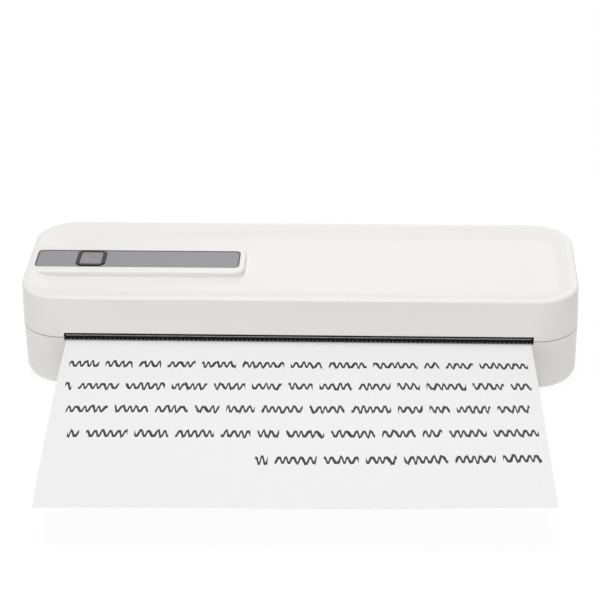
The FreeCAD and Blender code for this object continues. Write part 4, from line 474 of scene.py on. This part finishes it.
def merged(shapes):
    """Several shapes' points and faces as one."""
    starts = np.cumsum([0] + [len(points) for points, _ in shapes[:-1]])
    return (np.concatenate([points for points, _ in shapes]),
            np.concatenate([faces + start for (_, faces), start in zip(shapes, starts)]))


def turned_form(profile, segments, dent=None):
    """A form turned round its own z axis: each radius times cosine and sine of the turn, at its height.

    A dent is (half width, half length, depth): a cross-shaped recess pressed into the rings after the widest.
    """
    profile = np.array(profile, float)
    angle = np.linspace(0.0, 2 * math.pi, segments, endpoint=False)
    x = profile[:, :1] * np.cos(angle)
    y = profile[:, :1] * np.sin(angle)
    z = np.repeat(profile[:, 1:], segments, axis=1)
    if dent is not None:
        half, reach, depth = dent
        along_x = (np.abs(y) < half) & (np.abs(x) < reach)
        along_y = (np.abs(x) < half) & (np.abs(y) < reach)
        on_top = np.arange(len(profile))[:, None] > int(np.argmax(profile[:, 0]))
        z = z - depth * ((along_x | along_y) & on_top)
    return np.stack([x, y, z], axis=-1).reshape(-1, 3), grid_faces(len(profile), segments)


def closed_sheet(upper, lower):
    """A thin sheet from two grids of points, its edges closed all round."""
    rows, columns = upper.shape[:2]
    points = np.concatenate([upper, lower[:, ::-1]], axis=1)
    around = 2 * columns
    step = np.arange(columns - 1)
    cap = np.stack([step, step + 1, around - 2 - step, around - 1 - step], axis=-1)
    faces = np.concatenate([grid_faces(rows, around)[:, ::-1], cap, cap[:, ::-1] + (rows - 1) * around])
    return points.reshape(-1, 3), faces


def arc(centre, radius, start, end, count):
    """Points round a centre: radius times the cosine and sine of angles in degrees."""
    angle = np.radians(np.linspace(start, end, count))
    return np.stack([centre[0] + radius * np.cos(angle), centre[1] + radius * np.sin(angle)], axis=-1)


def square_to(line):
    """At each point of a line in a plane, the direction square to it: its run turned right by a quarter."""
    along = np.gradient(line, axis=0)
    along /= np.linalg.norm(along, axis=1, keepdims=True)
    return np.stack([along[:, 1], -along[:, 0]], axis=-1)


def screw_heads(name, body, places, radius_mm, height_mm):
    """Pan-head screws: a domed head with a cross recess at each place, which is an origin in mm and axes.

    The dome's rings have the radius times a cosine, and the height times the rim's share plus the rest of it
    times the sine. The recess's width and length are shares of the radius, and its depth of the height.
    """
    rim_share, recess_width, recess_length, recess_depth = 0.35, 0.16, 0.55, 0.55
    dome = [(radius_mm * math.cos(a), height_mm * (rim_share + (1 - rim_share) * math.sin(a)))
            for a in np.linspace(0.0, math.pi / 2, 8)[:-1]]
    crown = [((1 - share) * dome[-1][0], height_mm) for share in np.linspace(0.0, 1.0, 19)[1:]]
    profile = [(0.0, 0.0), (radius_mm, 0.0)] + dome + crown
    recess = (recess_width * radius_mm, recess_length * radius_mm, recess_depth * height_mm)
    points, faces = turned_form(profile, 48, dent=recess)
    placed, quads = repeated(points * MM, faces, [(np.array(origin) * MM, axes) for origin, axes in places])
    piece = new_piece(name, placed, quads, screw_zinc, body)
    return piece


def bevelled_boxes(boxes, bevel_mm):
    """Boxes with cut edges in one mesh, each given by its low and high corners in mm.

    Each corner becomes three points, one on each face that meets there, drawn in along that face by the
    bevel, or by most of half the thinnest side where that is less. Six rectangles, twelve strips and eight
    triangles join them.
    """
    most = 0.8
    low = np.array([box[0] for box in boxes], float)[:, None, :]
    high = np.array([box[1] for box in boxes], float)[:, None, :]
    signs = np.array([(x, y, z) for x in (-1, 1) for y in (-1, 1) for z in (-1, 1)], float)
    middle, half = (low + high) / 2, (high - low) / 2
    cut = np.minimum(bevel_mm, half.min(axis=2, keepdims=True) * most)
    on_faces = [middle + signs[None] * (half - cut * (1 - np.eye(3)[axis])) for axis in range(3)]
    points = np.stack(on_faces, axis=2).reshape(len(boxes), 24, 3)
    rings = []
    for axis, step in enumerate((4, 2, 1)):
        one, other = [k for k in range(3) if k != axis]
        for side in (-1, 1):
            ring = [i for i in range(8) if signs[i][axis] == side]
            ring.sort(key=lambda i: math.atan2(signs[i][other], signs[i][one]))
            rings.append([3 * i + axis for i in ring])
        for near in (i for i in range(8) if signs[i][axis] < 0):
            far = near + step
            rings.append([3 * near + one, 3 * far + one, 3 * far + other, 3 * near + other])
    rings += [[3 * i, 3 * i + 1, 3 * i + 2] for i in range(8)]
    faces = []
    for ring in rings:
        a, b, c = points[0][ring[:3]]
        outward = points[0][ring].mean(axis=0) - middle[0, 0]
        faces.append(ring if np.cross(b - a, c - a) @ outward > 0 else ring[::-1])
    every = [[index + 24 * number for index in face] for number in range(len(boxes)) for face in faces]
    return points.reshape(-1, 3) * MM, every


# Paper

# The sheet, in mm: half its width, and the Y of the platen's top, of the slot's mouth and of the free end.
HALF_SHEET = 105.0
PLATEN_TOP, SLOT_MOUTH, SHEET_END = -28.0, -41.0, -163.0


def web_line():
    """The middle line of the paper in Y and Z, in mm, from the roll to the free end.

    It leaves the roll's top on a tangent, turns under the bend behind the head, runs straight onto the
    platen, over its top, out level through the slot, and droops on a wide arc: the radius less the root of
    its square less the square of the way past the arc's start.
    """
    roll, platen = np.array([18.3, 20.2]), np.array([PLATEN_TOP, 19.2])
    wrap, bend_radius, roll_radius = 6.3, 4.9, 15.3
    lean, straight, round_roll = 12.0, 8.0, 20.0
    droop_start, droop_radius = -75.0, 1180.0
    forward = np.array([math.cos(math.radians(lean)), -math.sin(math.radians(lean))])
    outward = np.array([math.sin(math.radians(lean)), math.cos(math.radians(lean))])
    leave = platen + wrap * outward
    run = leave + straight * forward
    bend = run + bend_radius * outward
    apart = roll - bend
    tilt = math.asin((roll_radius + bend_radius) / float(np.hypot(*apart)))
    turn = math.atan2(apart[1], apart[0]) + tilt
    side = np.array([math.sin(turn), -math.cos(turn)])
    from_bend = bend + bend_radius * side
    to_roll = roll - roll_radius * side
    roll_angle = math.degrees(math.atan2(-side[1], -side[0]))
    bend_angle = math.degrees(math.atan2(side[1], side[0]))
    y = np.linspace(PLATEN_TOP, SHEET_END, 150)[1:]
    past = np.minimum(y - droop_start, 0.0)
    drop = droop_radius - np.sqrt(droop_radius ** 2 - past ** 2)
    return np.concatenate([
        arc(roll, roll_radius, roll_angle - round_roll, roll_angle, 12),
        to_roll + (from_bend - to_roll) * np.linspace(0, 1, 14)[1:-1, None],
        arc(bend, bend_radius, bend_angle, math.degrees(math.atan2(-outward[1], -outward[0])), 14),
        run + (leave - run) * np.linspace(0, 1, 6)[1:-1, None],
        arc(platen, wrap, 90.0 - lean, 90.0, 8),
        np.stack([y, platen[1] + wrap - drop], axis=-1),
    ])


def paper_sheet():
    """The printed sheet: the web's line drawn across its width, with a faint roll set in the free part.

    Growth runs from 0 near the slot to 1 near the end. The height gets growth times a slow wave across and
    along and a square across, and less the square of growth times a share that is 1 at the left edge and 0 at
    the right. Past the slot the sheet runs off to the right by 0.03 of its length, and its rows turn with it
    by half that, eased in at the slot and out at the end.
    """
    half_thick, ripple, curl, left_sink = 0.06, 0.35, 0.8, 3.4
    growth_start, growth_length, wave_across, wave_start, wave_along = -50.0, 110.0, 3.3, 0.6, 46.0
    run_off, row_turn, ease = 0.03, 0.015, 30.0
    line = web_line()
    out = square_to(line)
    across = np.linspace(-1.0, 1.0, 85)
    x, along = across * HALF_SHEET, line[:, :1]
    growth = np.clip((growth_start - along) / growth_length, 0.0, 1.0)
    slow = np.sin(across * wave_across + wave_start) * np.cos(along / wave_along) + curl * across ** 2
    lift = ripple * growth * slow - left_sink * growth ** 2 * (1 - across) / 2
    past = np.clip(SLOT_MOUTH - along, 0.0, None)
    before = SLOT_MOUTH - SHEET_END - past
    turned = row_turn * np.clip(past / ease, 0.0, 1.0) * np.clip(before / ease, 0.0, 1.0)
    grids, flats = [], []
    for side in (half_thick, -half_thick):
        y = along + side * out[:, :1] + 0 * x
        z = line[:, 1:] + side * out[:, 1:] + lift
        grids.append(np.stack([x + run_off * past, y + turned * x, z], axis=-1) * MM)
        flats.append(np.stack([0 * y + x, y, 0 * z + side], axis=-1))
    points, faces = closed_sheet(*grids)
    sheet = new_piece("printed_sheet", points, faces, printed_paper(), "base")
    printed_at = sheet.data.attributes.new("printed_at", "FLOAT_VECTOR", "POINT")
    printed_at.data.foreach_set("vector", closed_sheet(*flats)[0].ravel())
    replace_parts(sheet, "paper_web")


paper_sheet()


# Tear bar, dark bands of painted shade in the parting gap, and feet

def tear_teeth():
    """The steel saw strip let into the tear bar's lip: trapezoid teeth 0.85 mm apart, their tips down.

    It lies 0.7 mm under the slot's top, so that its points catch the light in the upper third of the slot.
    Each tooth is a trapezoid in X and Z, carried straight back along Y.
    """
    pitch, root, tip, depth = 0.85, 0.28, 0.12, 0.5
    proud, sunk, slot_height, below_top, end_gap = 0.15, 0.2, 3.2, 0.7, 1.0
    low, high = mm_box("tear_blade")
    front, back, z = low[1] - proud, low[1] + sunk, low[2] + slot_height - below_top
    ring = np.array([(-root, 0.0), (root, 0.0), (tip, -depth), (-tip, -depth)])
    tooth = np.concatenate([np.stack([ring[:, 0], 0 * ring[:, 0] + y, ring[:, 1]], axis=-1)
                            for y in (front, back)])
    faces = np.array([(3, 2, 1, 0), (4, 5, 6, 7), (0, 1, 5, 4), (1, 2, 6, 5), (2, 3, 7, 6), (3, 0, 4, 7)])
    count = int((high[0] - low[0] - end_gap) / pitch)
    copies = [(np.array([(i + 0.5 - count / 2) * pitch, 0.0, z]) * MM, UPRIGHT) for i in range(count)]
    points, quads = repeated(tooth * MM, faces, copies)
    teeth = new_piece("tear_teeth", points, quads, ground_steel, "cover", smooth=False)


tear_teeth()


def parting_gap_shade_band():
    """Black bands in the parting gap, one at each end, 0.03 mm inside the box's face: painted shade, dark
    sheets standing in for the shade inside the gap.

    Each is a flat band carried along the box's outline, from the slot's end to the end of the hinge barrel: a
    straight run, a quarter turn, a straight run and 57 degrees of the rear corner's turn.
    """
    corner, inset, width, rear_turn = 19.2, 0.03, 0.9, 57.0
    gap_low, gap_high, clear, past_bar = 26.9, 27.2, 0.02, 0.5
    low, high = mm_box("cover_shell")
    start = (mm_box("tear_blade")[1][0] + past_bar, low[1] + inset)
    across, deep = high[0] - corner, high[1] - corner
    line = np.concatenate([np.array([start]), arc((across, -deep), corner - inset, -90.0, 0.0, 24),
                           arc((across, deep), corner - inset, 0.0, rear_turn, 16)])
    shapes = []
    for side in (1, -1):
        path = (line * (side, 1))[::side]
        band = np.stack([path, path - square_to(path) * width], axis=1)
        grids = [np.concatenate([band, 0 * band[..., :1] + z], axis=-1) * MM
                 for z in (gap_high - clear, gap_low + clear)]
        shapes.append(closed_sheet(*grids))
    points, faces = merged(shapes)
    # Painted shade: dark rubber-finished bands put where the parting gap is only in shade.
    shade_band = new_piece("parting_gap_shade_band", points, faces, foot_rubber, "base", smooth=False)


parting_gap_shade_band()


def rubber_feet():
    """Turned rubber feet: a rounded lower edge, and two shallow grooves round the sole."""
    high = mm_box("rubber_feet")[1]
    radius, top = 5.0, float(high[2])
    sole = [(0.0, 0.12), (1.4, 0.12), (1.5, 0.0), (2.5, 0.0), (2.6, 0.18), (2.9, 0.18), (3.0, 0.0),
            (3.7, 0.0), (3.8, 0.18), (4.1, 0.18), (4.2, 0.0), (4.55, 0.0), (4.75, 0.05), (4.92, 0.2),
            (4.98, 0.4), (radius, 0.6), (radius, top), (0.0, top)]
    points, faces = turned_form(sole, 64)
    x, y = high[0] - radius, high[1] - radius
    copies = [(np.array([a, b, 0.0]) * MM, UPRIGHT) for a, b in ((x, y), (x, -y), (-x, y), (-x, -y), (0, 0))]
    placed, quads = repeated(points * MM, faces, copies)
    feet = new_piece("turned_feet", placed, quads, foot_rubber, "base")
    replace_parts(feet, "rubber_feet")


rubber_feet()


# Small parts inside

def inner_screws():
    """The pan-head screws of the frame, the boards, the motor and the halves."""
    radius, height, sunk_radius = 1.8, 1.1, 2.4
    plate, tab, beam_height, tab_height = 109.8, 112.9, 38.1, 8.2
    board_top, socket_board_top = mm_box("main_board")[1][2], mm_box("socket_board")[1][2]
    beam = [((side * plate, y, beam_height), axes)
            for side, axes in ((1, FACING_RIGHT), (-1, FACING_LEFT)) for y in (-27.4, -19.1)]
    tabs = [((side * tab, y, tab_height), UPRIGHT) for side in (1, -1) for y in (-29.5, 0.5)]
    motor = [((plate, y, z), FACING_RIGHT) for y, z in ((-10.0, 24.1), (1.5, 12.6))]
    boards = [((x, -28.5, board_top), UPRIGHT) for x in (-95.0, 63.0)]
    boards += [((-120.0, y, socket_board_top), UPRIGHT) for y in (2.05, 17.95)]
    screw_heads("frame_screws", "base", beam + tabs + motor + boards, radius, height)
    low, high = mm_box("base_screws")
    places = [((x, y, high[2]), HANGING) for x in (low[0] + sunk_radius, high[0] - sunk_radius)
              for y in (low[1] + sunk_radius, high[1] - sunk_radius)]
    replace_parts(screw_heads("sunk_screws", "base", places, sunk_radius, high[2] - low[2]), "base_screws")
    switch_board_face = mm_box("switch_board")[0][2]
    places = [((x, 0.0, switch_board_face), HANGING) for x in (-111.4, -83.4)]
    screw_heads("cover_screws", "cover", places, radius, height)


inner_screws()


def leaf_spring():
    """The head's spring: a clamped strip and four fingers that curve down and turn up at their tips.

    A finger's height falls by a smooth step from its root to where it touches, and rises by a square after.
    """
    half_thick, clamped, past, overlap = 0.2, 4.0, 1.0, 0.5
    finger_width, finger_taper, upturn = 12.0, 0.25, 0.9
    (left, tip, low), (right, back, top) = mm_box("head_spring")
    low, seat, clamp = low + half_thick, top - half_thick, back - clamped
    touch = tip + past

    def strip(line, start, end, taper):
        """A strip of spring steel across X on a line in Y and Z, narrower by a share at its far end."""
        out = square_to(line)
        share = np.linspace(0.0, 1.0, len(line))[:, None]
        half = (end - start) / 2 * (1 - taper * share)
        x = (start + end) / 2 + half * np.array([-1.0, 1.0])
        sides = [line + side * out for side in (half_thick, -half_thick)]
        grids = [np.stack([x, side[:, :1] + 0 * x, side[:, 1:] + 0 * x], axis=-1) for side in sides]
        return closed_sheet(*grids)

    y = np.linspace(clamp + overlap, tip, 30)
    share = np.clip((clamp - y) / (clamp - touch), 0.0, 1.0)
    z = seat - (seat - low) * share ** 2 * (3 - 2 * share) + upturn * np.clip(touch - y, 0, None) ** 2
    finger = np.stack([y, z], axis=-1)
    root = np.stack([np.linspace(back, clamp, 5), np.full(5, seat)], axis=-1)
    shapes = [strip(root, left, right, 0.0)]
    shapes += [strip(finger, edge, edge + finger_width, finger_taper)
               for edge in np.linspace(left, right - finger_width, 4)]
    points, faces = merged(shapes)
    spring = new_piece("leaf_spring", points * MM, faces, spring_steel, "base")
    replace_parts(spring, "head_spring")
    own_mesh(spring)


leaf_spring()


def box_round(x, y, z, half_x, half_y, height):
    """A box's low and high corners from the middle of its foot, half its length and width, and its height."""
    return (x - half_x, y - half_y, z), (x + half_x, y + half_y, z + height)


def board_packages(top, middle):
    """The board's three packages, lifted a little, and the boxes of the leads along their two long sides.

    A package is its middle's X, half its length, half its width and its height. A lead is 1 mm long, and
    0.9 mm of it is outside.
    """
    packages = [(-83.2, 4.0, 3.6, 1.5), (-63.0, 5.5, 3.6, 1.2), (4.2, 6.2, 3.6, 1.4)]
    lift, lead_pitch, first_lead, last_lead = 0.1, 0.8, 0.6, 0.5
    lead_middle, half_length, half_width, lead_height = 0.4, 0.5, 0.15, 0.25
    bodies = [box_round(x, middle, top + lift, half_x, half_y, height - lift)
              for x, half_x, half_y, height in packages]
    leads = [box_round(x + offset, middle + side * (half_y + lead_middle), top, half_width, half_length,
                       lead_height)
             for x, half_x, half_y, _ in packages
             for offset in np.arange(-half_x + first_lead, half_x - last_lead, lead_pitch)
             for side in (1, -1)]
    dark = new_piece("board_packages", *bevelled_boxes(bodies, 0.25), black_polycarbonate, "base",
                     smooth=False)
    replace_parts(dark, "board_chips")
    return leads


def board_rows(top):
    """Two rows of small parts, set down a little unevenly: their bodies, and the tinned ends beside them."""
    pitch, unevenness = 3.1, 0.5
    half_length, half_width, height = 0.45, 0.4, 0.45
    end_middle, half_end, end_half_width, end_height = 0.625, 0.175, 0.42, 0.47
    scatter = np.random.default_rng(5)
    bodies, ends = [], []
    for y in (-34.3, -22.8):
        for even_x in np.arange(-88.0, 58.0, pitch):
            x = even_x + scatter.uniform(-unevenness, unevenness)
            bodies.append(box_round(x, y, top, half_length, half_width, height))
            ends += [box_round(x + side * end_middle, y, top, half_end, end_half_width, end_height)
                     for side in (-1, 1)]
    return bodies, ends


def board_headers(top, middle):
    """The two plug headers, each a floor with four walls, and their pins in a row 2 mm apart."""
    floor, rim, wall, half_width = 0.8, 3.2, 0.7, 3.0
    pin_pitch, half_pin, pin_foot, pin_height, first_pin, last_pin = 2.0, 0.25, 0.6, 2.2, 1.7, 1.2
    inside = half_width - wall
    boxes, pins = [], []
    for x, half in ((31.0, 4.8), (51.2, 5.6)):
        boxes.append(box_round(x, middle, top, half, half_width, floor))
        for side in (-1, 1):
            boxes.append(box_round(x, middle + side * (half_width - wall / 2), top + floor, half, wall / 2,
                                   rim - floor))
            boxes.append(box_round(x + side * (half - wall / 2), middle, top + floor, wall / 2, inside,
                                   rim - floor))
        pins += [box_round(pin, middle, top + pin_foot, half_pin, half_pin, pin_height)
                 for pin in np.arange(x - half + first_pin, x + half - last_pin, pin_pitch)]
    white = new_piece("board_headers", *bevelled_boxes(boxes, 0.15), header_nylon, "base", smooth=False)
    gold = new_piece("board_pins", *bevelled_boxes(pins, 0.1), contact_gold, "base", smooth=False)


def main_board_parts():
    """The main board's parts: packages with leads, rows of small parts, headers and two cans."""
    low, high = mm_box("main_board")
    top, middle = high[2], (low[1] + high[1]) / 2
    leads = board_packages(top, middle)
    smalls, ends = board_rows(top)
    tin = new_piece("board_leads", *bevelled_boxes(leads + ends, 0.05), solder_tin, "base", smooth=False)
    small = new_piece("board_small_parts", *bevelled_boxes(smalls, 0.05), core_board, "base", smooth=False)
    board_headers(top, middle)
    can = [(0.0, 0.0), (3.0, 0.0), (3.1, 0.15), (3.1, 0.7), (2.9, 0.85), (3.1, 1.0), (3.1, 3.7), (2.9, 3.95),
           (2.6, 4.0), (2.5, 3.9), (0.0, 3.9)]
    points, faces = turned_form(can, 48)
    copies = [(np.array([x, middle, top]) * MM, UPRIGHT) for x in (-39.5, -21.0)]
    placed, quads = repeated(points * MM, faces, copies)
    cans = new_piece("board_cans", placed, quads, sink_aluminium, "base")


main_board_parts()


def socket_contacts():
    """The charging socket's contacts: twelve thin strips on each face of its tongue, 0.5 mm apart."""
    tongue_start, contact_length, half_width, pitch, count = 1.15, 3.95, 0.125, 0.5, 12
    half_tongue, thickness = 0.34, 0.06
    low, high = mm_box("charging_socket")
    middle = (low + high) / 2
    x = low[0] + tongue_start + contact_length / 2
    rows = middle[1] + (np.arange(count) - (count - 1) / 2) * pitch
    strips = [box_round(x, y, z, contact_length / 2, half_width, thickness)
              for y in rows for z in (middle[2] + half_tongue, middle[2] - half_tongue - thickness)]
    gold = new_piece("socket_contacts", *bevelled_boxes(strips, 0.02), contact_gold, "base", smooth=False)


socket_contacts()


def cell_ends():
    """A pressed insulator ring round the cap of each cell, at its left end."""
    cap_height = 1.0
    ring = [(3.3, 0.0), (8.0, 0.0), (8.0, 0.2), (7.8, 0.25), (3.5, 0.25), (3.3, 0.2), (3.3, 0.0)]
    points, faces = turned_form(ring, 64)
    cells = [mm_box(name) for name in ("battery_cell_left", "battery_cell_right")]
    copies = [(np.array([low[0] + cap_height, *(low + high)[1:] / 2]) * MM, FACING_LEFT)
              for low, high in cells]
    placed, quads = repeated(points * MM, faces, copies)
    rings = new_piece("cell_insulators", placed, quads, insulator_paper, "base")


cell_ends()


# Studio

def straight_rays(tree):
    """1 for camera, glossy and transmission rays, 0 for the others."""
    rays = add(tree, "ShaderNodeLightPath")
    seen = add(tree, "ShaderNodeMath", {"operation": "MAXIMUM"}, {
        0: rays.outputs["Is Camera Ray"], 1: rays.outputs["Is Glossy Ray"]})
    return add(tree, "ShaderNodeMath", {"operation": "MAXIMUM"}, {
        0: seen, 1: rays.outputs["Is Transmission Ray"]})


def studio_floor():
    """A white floor plane that shows the object's soft shadow and is otherwise the white of the backdrop."""
    backdrop_share, backdrop_strength, reach = 0.92, 1.02, 4.0
    material, tree, _ = new_material("studio_white_floor")
    lit = add(tree, "ShaderNodeBsdfDiffuse", inputs={"Color": linear("#ffffff")})
    glow = add(tree, "ShaderNodeEmission", inputs={"Color": linear("#ffffff"), "Strength": backdrop_strength})
    share = add(tree, "ShaderNodeMath", {"operation": "MULTIPLY"}, {
        0: straight_rays(tree), 1: backdrop_share})
    shader = add(tree, "ShaderNodeMixShader", inputs={0: share, 1: lit, 2: glow})
    add(tree, "ShaderNodeOutputMaterial", inputs={"Surface": shader})
    mesh = bpy.data.meshes.new("floor")
    mesh.from_pydata([(-reach, -reach, 0), (reach, -reach, 0), (reach, reach, 0), (-reach, reach, 0)], [],
                     [(0, 1, 2, 3)])
    mesh.materials.append(material)
    floor = bpy.data.objects.new("floor", mesh)
    bpy.context.scene.collection.objects.link(floor)


def backdrop():
    """Even white surroundings: plain white to the camera and in reflections, softer as a light."""
    light_strength = 0.33
    world = bpy.data.worlds.new("studio")
    bpy.context.scene.world = world
    world.use_nodes = True
    tree = world.node_tree
    tree.nodes.clear()
    strength = add(tree, "ShaderNodeMapRange", inputs={
        "Value": straight_rays(tree), "To Min": light_strength, "To Max": 1.0})
    glow = add(tree, "ShaderNodeBackground", inputs={"Color": linear("#ffffff"), "Strength": strength})
    add(tree, "ShaderNodeOutputWorld", inputs={"Surface": glow})


def looking(back, up):
    """A turn that faces against back, with its own up as near the given one as it can be."""
    side = np.cross(up, back)
    side /= np.linalg.norm(side)
    return np.stack([side, np.cross(back, side), back], axis=1)


def placed_at(item, turn, place):
    """Links an object to the scene, turned and placed."""
    bpy.context.scene.collection.objects.link(item)
    matrix = np.eye(4)
    matrix[:3, :3] = turn
    matrix[:3, 3] = place
    item.matrix_world = Matrix(matrix.tolist())


def soft_box(name, place, size, watts):
    """A soft box, its size as width and height in metres, that points at the middle of the printer."""
    aim, steep = (0.0, 0.0, 0.03), 0.9
    data = bpy.data.lights.new(name, "AREA")
    data.shape = "RECTANGLE"
    data.size, data.size_y = size
    data.energy = watts
    back = np.array(place) - aim
    back /= np.linalg.norm(back)
    up = (0.0, 1.0, 0.0) if back[2] > steep else (0.0, 0.0, 1.0)
    placed_at(bpy.data.objects.new(name, data), looking(back, up), place)


def camera():
    """The photograph's camera: 949 mm from a point in the box, 28.6 degrees up and a little to the right."""
    elevation, azimuth, roll = math.radians(28.64), math.radians(2.90), math.radians(-0.88)
    distance, target = 949.2 * MM, np.array([-0.65, 0.0, 25.98]) * MM
    back = np.array([math.sin(azimuth) * math.cos(elevation), -math.cos(azimuth) * math.cos(elevation),
                     math.sin(elevation)])
    rolled = np.array([[math.cos(roll), -math.sin(roll), 0.0], [math.sin(roll), math.cos(roll), 0.0],
                       [0.0, 0.0, 1.0]])
    data = bpy.data.cameras.new("camera")
    data.sensor_width = 36.0
    data.lens = 121.69
    data.clip_start = 0.01
    eye = bpy.data.objects.new("camera", data)
    placed_at(eye, looking(back, (0.0, 0.0, 1.0)) @ rolled, target + back * distance)
    bpy.context.scene.camera = eye


studio_floor()
backdrop()
soft_box("overhead", (-0.05, -0.15, 1.2), (0.5, 0.5), 7.4)
soft_box("front_fill", (-0.15, -1.3, 0.28), (2.6, 0.5), 5.2)
soft_box("back_light", (0.2, 1.1, 0.8), (0.9, 0.9), 2.4)
camera()
bpy.context.scene.view_settings.view_transform = "Standard"
